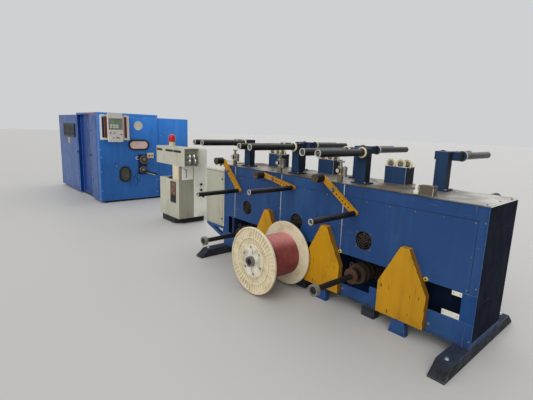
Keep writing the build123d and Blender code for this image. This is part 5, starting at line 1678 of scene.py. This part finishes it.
for index, (x0, x1) in enumerate(SIGHT_SLOTS):
    slot = pressed(f"sight_slot_{index + 1}", tester(x0, -0.003, SIGHT_LOW), tester(x1, 0.001, SIGHT_HIGH),
                   FRONT, 0.004, 0.0022, 0.0012)
    fit(slot, black_plastic)
for index, (x, z) in enumerate(BARE_PLATES):
    plate = block(f"bare_plate_{index + 1}", tester(x - 0.020, -0.0015, z - 0.009),
                  tester(x + 0.020, BEDDED, z + 0.009), 0.0006)
    fit(plate, tester_grey)
cover = pressed("column_cover", tester(-4.782, -0.002, 0.745), tester(-4.588, BEDDED, 0.968), FRONT, 0.008,
                0.0008, 0.001)
fit(cover, column_cream)
print("sight slots", len(SIGHT_SLOTS), "bare plates", len(BARE_PLATES))

# %% Fit the tester's control panel
PANEL_FACE = -0.0066
RED_PLACES = ((-4.815, 0.645), (-4.725, 0.600), (-4.815, 0.520))
ORANGE_PLACES = ((-4.725, 0.655), (-4.770, 0.560), (-4.725, 0.520))
TESTER_BUTTON = [(0, 0), (0.0130, 0), (0.0130, 0.003), (0.0105, 0.004), (0.0100, 0.012), (0.0085, 0.0145),
                 (0, 0.0150)]

panel = pressed("tester_panel", tester(-4.860, -0.008, 0.355), tester(-4.678, 0.001, 0.705), FRONT, 0.006,
                0.002, 0.003)
fit(panel, dark_paint)
strip = block("tester_panel_face", tester(-4.848, -0.0068, 0.480), tester(-4.690, -0.0055, 0.692), 0.0006)
fit(strip, brown_grey)
button = turned("tester_button", TESTER_BUTTON, 20)
red_moves = [out_of_front(tester(x, PANEL_FACE, z)) for x, z in RED_PLACES]
orange_moves = [out_of_front(tester(x, PANEL_FACE, z)) for x, z in ORANGE_PLACES]
spread(button, red_moves, red_button, name="tester_red_buttons", keep=True)
spread(button, orange_moves, orange_button, name="tester_orange_buttons")
meter = pressed("tester_meter", tester(-4.838, -0.011, 0.372), tester(-4.700, -0.005, 0.460), FRONT, 0.010,
                0.003, 0.003)
fit(meter, black_plastic)
print("panel buttons", len(red_moves + orange_moves))

# %% Hang the tester's doors and hatch
RIGHT_BEDDED = TEST_HIGH.x - 0.001

side_door = pressed("tester_side_door", (RIGHT_BEDDED, TEST_LOW.y + 0.018, 0.125),
                    (TEST_HIGH.x + 0.004, TEST_HIGH.y - 0.016, 0.700), RIGHT, 0.010, 0.0012, 0.002)
fit(side_door, tester_grey)
hatch = pressed("tester_hatch", (RIGHT_BEDDED, TEST_LOW.y + 0.060, 0.745),
                (TEST_HIGH.x + 0.005, TEST_HIGH.y - 0.018, 0.955), RIGHT, 0.012, 0.002, 0.002)
fit(hatch, hatch_white)
print("side door", [round(side, 3) for side in side_door.dimensions])

# %% [markdown]
# The hatch's handle is a round bar with two bends. A ring of ten points is extruded and spun round each
# bend, and its two open ends are then closed, because an open end would show as a hole.

# %% Bend the hatch handle
HANDLE_SPAN = 0.130
HANDLE_REACH = 0.040
HANDLE_RADIUS = 0.006
HANDLE_BEND = 0.015


def extrude(x=0.0, z=0.0):
    """Draws the picked points out by a step."""
    bpy.ops.mesh.extrude_region_move(TRANSFORM_OT_translate={"value": (x, 0, z)})


def bow(name, span, reach, radius, bend):
    """A round bow handle that stands on the plane X = 0, its two feet apart along Z."""
    deselect()
    foot = -span / 2
    run = reach - bend
    bpy.ops.mesh.primitive_circle_add(vertices=10, radius=radius, location=(0, 0, foot),
                                      rotation=(0, math.pi / 2, 0))
    bar = named(name)
    bpy.ops.object.mode_set(mode="EDIT")
    pick_all()
    extrude(x=run)
    bpy.ops.mesh.spin(steps=6, angle=math.pi / 2, center=(run, 0, foot + bend), axis=(0, 1, 0))
    extrude(z=span - 2 * bend)
    bpy.ops.mesh.spin(steps=6, angle=math.pi / 2, center=(run, 0, -foot - bend), axis=(0, 1, 0))
    extrude(x=-run)
    pick_all()
    bpy.ops.mesh.remove_doubles(threshold=SAME_PLACE)
    bpy.ops.mesh.select_all(action="DESELECT")
    bpy.ops.mesh.select_mode(type="EDGE")
    bpy.ops.mesh.select_non_manifold()
    bpy.ops.mesh.edge_face_add()
    pick_all()
    bpy.ops.mesh.normals_make_consistent(inside=False)
    end()
    return bar


handle = bow("hatch_handle", HANDLE_SPAN, HANDLE_REACH, HANDLE_RADIUS, HANDLE_BEND)
print("handle", [round(side, 3) for side in handle.dimensions])
spread(handle, [shift(TEST_HIGH.x + 0.0045, TEST_FRONT + 0.112, 0.850)], black_plastic)

# %% Sheaves in the tester's mouth
SHEAVE = [(0.0065, -0.009), (0.014, -0.009), (0.016, -0.004), (0.030, -0.004), (0.034, -0.009),
          (0.046, -0.011), (0.046, -0.008), (0.039, 0), (0.046, 0.008), (0.046, 0.011), (0.034, 0.009),
          (0.030, 0.004), (0.016, 0.004), (0.014, 0.009), (0.0065, 0.009)]
MOUTH_X = HEAD_HIGH.x - 0.022
MOUTH_WALL = 0.010
MOUTH_DEPTH = HEAD_HIGH.y - HEAD_LOW.y - 2 * MOUTH_WALL
# Distance behind the head's front, height
SHEAVE_SPOTS = ((0.090, 1.130), (0.165, 1.130), (0.090, 1.060), (0.185, 1.060))

sheave_moves = [out_of_front((MOUTH_X, HEAD_LOW.y + y, z)) for y, z in SHEAVE_SPOTS]
spread(ring("tester_sheaves", SHEAVE), sheave_moves, bright_steel)
pin_moves = [out_of_front((MOUTH_X, HEAD_HIGH.y - MOUTH_WALL, z)) for z in (1.130, 1.060)]
spread(prism("sheave_pins", 12, 0.0062, MOUTH_DEPTH, 0.0008), pin_moves, dull_steel)
print("sheaves", len(sheave_moves), "pins", len(pin_moves))

# %% Knobs and a door on the tall cabinet, ribs round the beacon
CAB_LOW, CAB_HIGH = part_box("tall_cabinet")
CABINET_KNOB = [(0, 0), (0.013, 0), (0.013, 0.004), (0.009, 0.006), (0.009, 0.013), (0.021, 0.017),
                (0.022, 0.027), (0.019, 0.031), (0, 0.032)]
CABINET_SPOTS = ((0.130, 0.655), (0.130, 0.560), (0.170, 0.450))
RIB = [(0.0578, 0.004), (0.0595, 0.006), (0.0595, 0.011), (0.0578, 0.013)]
RIB_PITCH = 0.013
RIBS = 4

cabinet_moves = [out_of_right((CAB_HIGH.x, CAB_LOW.y + y, z)) for y, z in CABINET_SPOTS]
spread(turned("cabinet_knobs", CABINET_KNOB), cabinet_moves, black_plastic)
cabinet_door = pressed("cabinet_door", (CAB_LOW.x + 0.020, CAB_HIGH.y - 0.001, 0.125),
                       (CAB_HIGH.x - 0.020, CAB_HIGH.y + 0.004, CAB_HIGH.z - 0.030), BACK, 0.010, 0.0012,
                       0.002)
fit(cabinet_door, tester_grey)
beacon_middle = centre("beacon")
rib_moves = [shift(beacon_middle.x, beacon_middle.y, BEACON_LOW + 0.075 + step * RIB_PITCH)
             for step in range(RIBS)]
spread(ring("beacon_ribs", RIB), rib_moves, beacon_red)
print("cabinet knobs", len(cabinet_moves), "beacon ribs", RIBS)

# %% [markdown]
# ## The bunching machine's long side
#
# The rotor spins behind two sheet doors, so the doors close flush on a rubber gap and carry flush locks.
# Between them the frame is set back. High on the left door is a black louvre that lets the motor's heat out.
# The doors are thin bevelled blocks a few millimetres proud of the housing, the way a real skin sits.

# %% Hang the long side's doors
DOOR_BOTTOM = 0.115
DOOR_TOP = 1.735
SKIN_PROUD = 0.004
SKIN_BEDDED = 0.001
SKIN_PRESS = (0.030, 0.0016, 0.0022)
SIDE = SIDE_Y - FRONT_FACE
DOOR_LOCK_HEIGHTS = (0.430, 0.950, 1.450)
DOOR_LOCK = [(0, 0), (0.017, 0), (0.017, 0.003), (0.014, 0.005), (0.006, 0.005), (0.0055, 0.003), (0, 0.003)]


def front_door(name, x0, x1):
    """A thin door skin between two places along the machine's long side."""
    return pressed(name, at(x0, SIDE - SKIN_PROUD, DOOR_BOTTOM), at(x1, SIDE + SKIN_BEDDED, DOOR_TOP), FRONT,
                   *SKIN_PRESS)


fit(front_door("long_door_left", -9.985, -8.480), machine_blue)
fit(front_door("long_door_right", -7.500, -7.130), machine_blue)
lock_moves = [front(x, SIDE - SKIN_PROUD, z) for x in (-8.525, -7.460) for z in DOOR_LOCK_HEIGHTS]
spread(turned("door_locks", DOOR_LOCK, 20), lock_moves, black_plastic)
strap = block("door_straps", (-0.045, -0.012, -0.011), (0.045, 0.006, 0.011), 0.003)
spread(strap, [upright(x, SIDE, 0.952) for x in (-8.475, -7.505)], seam_dark)
print("door locks", len(lock_moves))

# %% Fit the louvre's frame and blades
LOUVRE_LOW, LOUVRE_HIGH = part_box("side_louvre")
LOUVRE_MIDDLE = (LOUVRE_LOW.x + LOUVRE_HIGH.x) / 2
FRAME_OUT = 0.012
FRAME_PROUD = 0.005
FRAME_WIDTH = 0.034
BAR_HALF_WIDTH = 0.030
BLADE_TILT = -0.006
BLADES = 9

rim_low = (LOUVRE_LOW.x - FRAME_OUT, LOUVRE_LOW.y - FRAME_PROUD, LOUVRE_LOW.z - FRAME_OUT)
rim_high = (LOUVRE_HIGH.x + FRAME_OUT, SIDE_Y + 0.001, LOUVRE_HIGH.z + FRAME_OUT)
rim = framed("louvre_frame", rim_low, rim_high, FRAME_WIDTH, BACK, 0.0025)
bar = block("louvre_bar", (LOUVRE_MIDDLE - BAR_HALF_WIDTH, LOUVRE_LOW.y - FRAME_PROUD, LOUVRE_LOW.z + 0.018),
            (LOUVRE_MIDDLE + BAR_HALF_WIDTH, LOUVRE_LOW.y + 0.002, LOUVRE_HIGH.z - 0.018), 0.002)
fit(together("louvre_frame", rim, bar), black_plastic)
blade = block("louvre_blades", (LOUVRE_LOW.x + 0.020, LOUVRE_LOW.y - 0.0022, -0.009),
              (LOUVRE_HIGH.x - 0.020, LOUVRE_LOW.y + 0.002, 0.004), 0.001, 1)
begin(blade)
pick(blade, looks(FRONT))
bpy.ops.transform.translate(value=(0, 0, BLADE_TILT))
end()
blade_pitch = (LOUVRE_HIGH.z - LOUVRE_LOW.z - 0.060) / (BLADES - 1)
blade_moves = [shift(z=LOUVRE_LOW.z + 0.030 + index * blade_pitch) for index in range(BLADES)]
spread(blade, blade_moves, dark_paint)
print("louvre blades", BLADES, "every", round(blade_pitch, 3), "m")

# %% Fix the bare plate and the canopy strip
plate = block("bare_side_plate", at(-9.205, SIDE - 0.0055, 1.110), at(-9.105, SIDE - 0.0030, 1.250), 0.001)
fit(plate, label_yellow)
strip = block("canopy_strip", at(-7.660, SIDE - 0.004, 1.797), at(-7.150, SIDE + 0.001, 1.818), 0.0015)
fit(strip, strip_orange)
print("canopy strip", [round(side, 3) for side in strip.dimensions])

# %% [markdown]
# ## The intake face
#
# Wire enters here, over two grooved wheels on a bracket, below an operator's box with a screen. A round
# plate and a stadium-shaped window sit above the wheels. The screen shows plain coloured bars and no words.

# %% Set the screen in the operator's box
BOX_FACE = -6.860
COVER_FACE = -6.820
GLASS_FACE = COVER_FACE - 0.008
PICTURE_FACE = COVER_FACE - 0.006
PICTURE_PROUD = 0.0006


def on_face(name, x, y0, y1, z0, z1, out=0.003, round_by=0.001):
    """A thin plate standing out of a face that looks to +X."""
    return block(name, at(x - 0.001, y0, z0), at(x + out, y1, z1), round_by)


rim = framed("screen_rim", at(COVER_FACE - 0.004, -0.132, 1.492), at(COVER_FACE + 0.004, 0.140, 1.710), 0.013,
             RIGHT, 0.0015)
fit(rim, dull_steel)
fit(on_face("screen_glass", GLASS_FACE, -0.119, 0.127, 1.505, 1.697, 0.002, 0.0008), screen_glass)
bars = [on_face("bar", PICTURE_FACE, y, y + 0.048, z, z + 0.030, PICTURE_PROUD, 0)
        for y in (-0.105, -0.045, 0.015) for z in (1.520, 1.560)]
fit(together("screen_bars", *bars), screen_pale)
fit(on_face("screen_field", PICTURE_FACE, -0.020, 0.060, 1.610, 1.675, PICTURE_PROUD, 0), screen_green)
print("bars on the screen", len(bars))

# %% Lay the stripes, clips and buttons on the box
STRIPE_LOW = 1.330
STRIPE_HIGH = 1.745
BOX_BUTTON = [(0, 0), (0.0125, 0), (0.0125, 0.003), (0.0100, 0.004), (0.0095, 0.012), (0, 0.013)]
BOX_BUTTONS = (
    ("black", black_plastic, ((-0.095, 1.425), (0.112, 1.400), (0.030, 1.335))),
    ("blue", blue_button, ((-0.020, 1.425),)),
    ("red", red_button, ((0.062, 1.330), (-0.040, 1.335))),
    ("white", white_plastic, ((0.050, 1.425), (-0.090, 1.335))),
)

stripes = [on_face("stripe", BOX_FACE, y0, y1, STRIPE_LOW, STRIPE_HIGH)
           for y0, y1 in ((-0.200, -0.150), (0.190, 0.240))]
fit(together("box_stripes", *stripes), stripe_red)
fit(on_face("box_dark_stripe", BOX_FACE, -0.246, -0.205, STRIPE_LOW, STRIPE_HIGH), deep_blue)
clips = [on_face("clip", BOX_FACE, -0.2485, -0.185, z, z + 0.040, 0.009, 0.002) for z in (1.290, 1.738)]
fit(together("box_clips", *clips), white_paint)
small_button = turned("small_button", BOX_BUTTON, 18)
for colour, material, spots in BOX_BUTTONS:
    moves = [rightward(COVER_FACE, y, z) for y, z in spots]
    spread(small_button, moves, material, name=f"box_{colour}_buttons", keep=True)
bpy.data.objects.remove(small_button)
print("button colours", len(BOX_BUTTONS))

# %% Set the round plate and screw the intake face
FACE = INTAKE_X - BANK_RIGHT
DISC = [(0, -0.001), (0.092, -0.001), (0.0935, 0.001), (0.092, 0.003), (0.083, 0.003), (0.081, 0.0020),
        (0, 0.0020)]
FACE_SCREWS = ((0.386, 1.373), (1.029, 1.383), (-0.248, 1.087), (-0.246, 0.931), (-0.249, 0.640),
               (-0.249, 0.258), (0.420, 1.745), (0.700, 1.745), (0.930, 1.745), (0.930, 0.150),
               (0.930, 0.420), (0.930, 1.100))
FACE_BOLTS = ((0.048, 0.745), (0.046, 0.457))

spread(turned("round_plate", DISC, 40), [rightward(FACE, 0.531, 1.582)], white_paint)
screws("intake_screws", 0.0085, [rightward(FACE, y, z) for y, z in FACE_SCREWS], bright_steel)
bolts("window_bolts", 0.030, [rightward(FACE, y, z) for y, z in FACE_BOLTS])
print("intake screws", len(FACE_SCREWS))

# %% Fit the wire eye, the switches and the wheel caps
PLATE_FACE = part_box("switch_plate")[1].x - BANK_RIGHT
EYE = [(0.024, 0.000), (0.034, 0.000), (0.036, 0.004), (0.034, 0.010), (0.026, 0.010), (0.024, 0.006)]
SWITCH = [(0, 0), (0.016, 0), (0.016, 0.004), (0.013, 0.005), (0.0125, 0.016), (0, 0.017)]
WHEELS = ("intake_wheel_upper", "intake_wheel_lower")
WHEEL_CAP = [(0, 0), (0.026, 0), (0.027, 0.002), (0.022, 0.006), (0.010, 0.008), (0.0095, 0.014), (0, 0.015)]

spread(ring("wire_eye", EYE), [rightward(FACE, 0.492, 0.905)], white_plastic)
switch = turned("switch", SWITCH, 20)
red_place = rightward(PLATE_FACE, 0.812, 0.957)
black_place = rightward(PLATE_FACE, 0.752, 0.957)
spread(switch, [red_place], red_button, name="switch_red", keep=True)
spread(switch, [black_place], black_plastic, name="switch_black")
for wheel in WHEELS:
    hub_place = (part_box(wheel)[1].x - BEDDED, centre(wheel).y, centre(wheel).z)
    spread(turned(wheel + "_cap", WHEEL_CAP), [out_of_right(hub_place)], dull_steel, wheel)
edge = block("arm_edge", at(-6.965, 0.6565, 0.590), at(-6.470, 0.6930, 0.600), 0.0015)
fit(edge, label_yellow)
print("wheel caps", len(WHEELS))

# %% [markdown]
# ## The sides that the photograph doesn't show
#
# The rear bay and the left end repeat the long side plainly: sheet doors with flush locks and hinges, and
# a row of vent slots low down. A machine is built of the same doors all round, so the same pressed skin
# makes them all.

# %% Hang the rear doors
BAY_LOW, BAY_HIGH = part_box("buncher_side_bay")
REAR = BAY_HIGH.y - FRONT_FACE
BAY_START = BAY_LOW.x - BANK_RIGHT
BAY_LENGTH = BAY_HIGH.x - BAY_LOW.x
BACKWARD = spin(math.pi) @ FRONTWARD
# Each door's two ends, as shares of the bay's length
REAR_DOORS = ((0.01, 0.335), (0.34, 0.665), (0.67, 0.99))
HINGE_HEIGHTS = (0.300, 0.900, 1.480)


def rear_door(x0, x1):
    """A thin door skin between two places along the rear bay."""
    return pressed("rear_door", at(x0, REAR - SKIN_BEDDED, DOOR_BOTTOM), at(x1, REAR + SKIN_PROUD, DOOR_TOP),
                   BACK, *SKIN_PRESS)


starts = [BAY_START + BAY_LENGTH * start for start, stop in REAR_DOORS]
stops = [BAY_START + BAY_LENGTH * stop for start, stop in REAR_DOORS]
rear_doors = [rear_door(x0, x1) for x0, x1 in zip(starts, stops)]
fit(together("rear_doors", *rear_doors), machine_blue)
rear_locks = [upright(x - 0.045, REAR + SKIN_PROUD, z) @ BACKWARD for x in stops for z in DOOR_LOCK_HEIGHTS]
spread(turned("rear_locks", DOOR_LOCK, 20), rear_locks, black_plastic)
hinge_moves = [upright(x + 0.003, REAR + 0.006, z) for x in starts for z in HINGE_HEIGHTS]
spread(prism("rear_hinges", 10, 0.010, 0.110, 0.0015), hinge_moves, dull_steel)
print("rear doors", len(rear_doors), "hinges", len(hinge_moves))

# %% Skin the left end
END_X = BUNCHER_LOW.x - BANK_RIGHT
END_SKINS = ((SIDE + 0.030, 0.335), (0.345, 0.930), (0.990, REAR - 0.030))
VENT_MIDDLES = (0.045, 0.640, 1.330)
VENT_ROWS = 6
VENT_LOW = 0.300
VENT_PITCH = 0.045

ends = [pressed("end_skin", at(END_X - SKIN_PROUD, y0, DOOR_BOTTOM), at(END_X + SKIN_BEDDED, y1, DOOR_TOP),
                LEFT, *SKIN_PRESS) for y0, y1 in END_SKINS]
fit(together("end_skins", *ends), machine_blue)
# The vent slots are dark strips on the skin, painted shade for the openings.
vent = block("end_vents", (-0.0065, -0.150, -0.006), (-0.003, 0.150, 0.006), 0.0015, 1)
vent_heights = [VENT_LOW + row * VENT_PITCH for row in range(VENT_ROWS)]
vent_moves = [upright(END_X, y, z) for y in VENT_MIDDLES for z in vent_heights]
spread(vent, vent_moves, seam_dark)
print("end skins", len(ends), "vents", len(vent_moves))
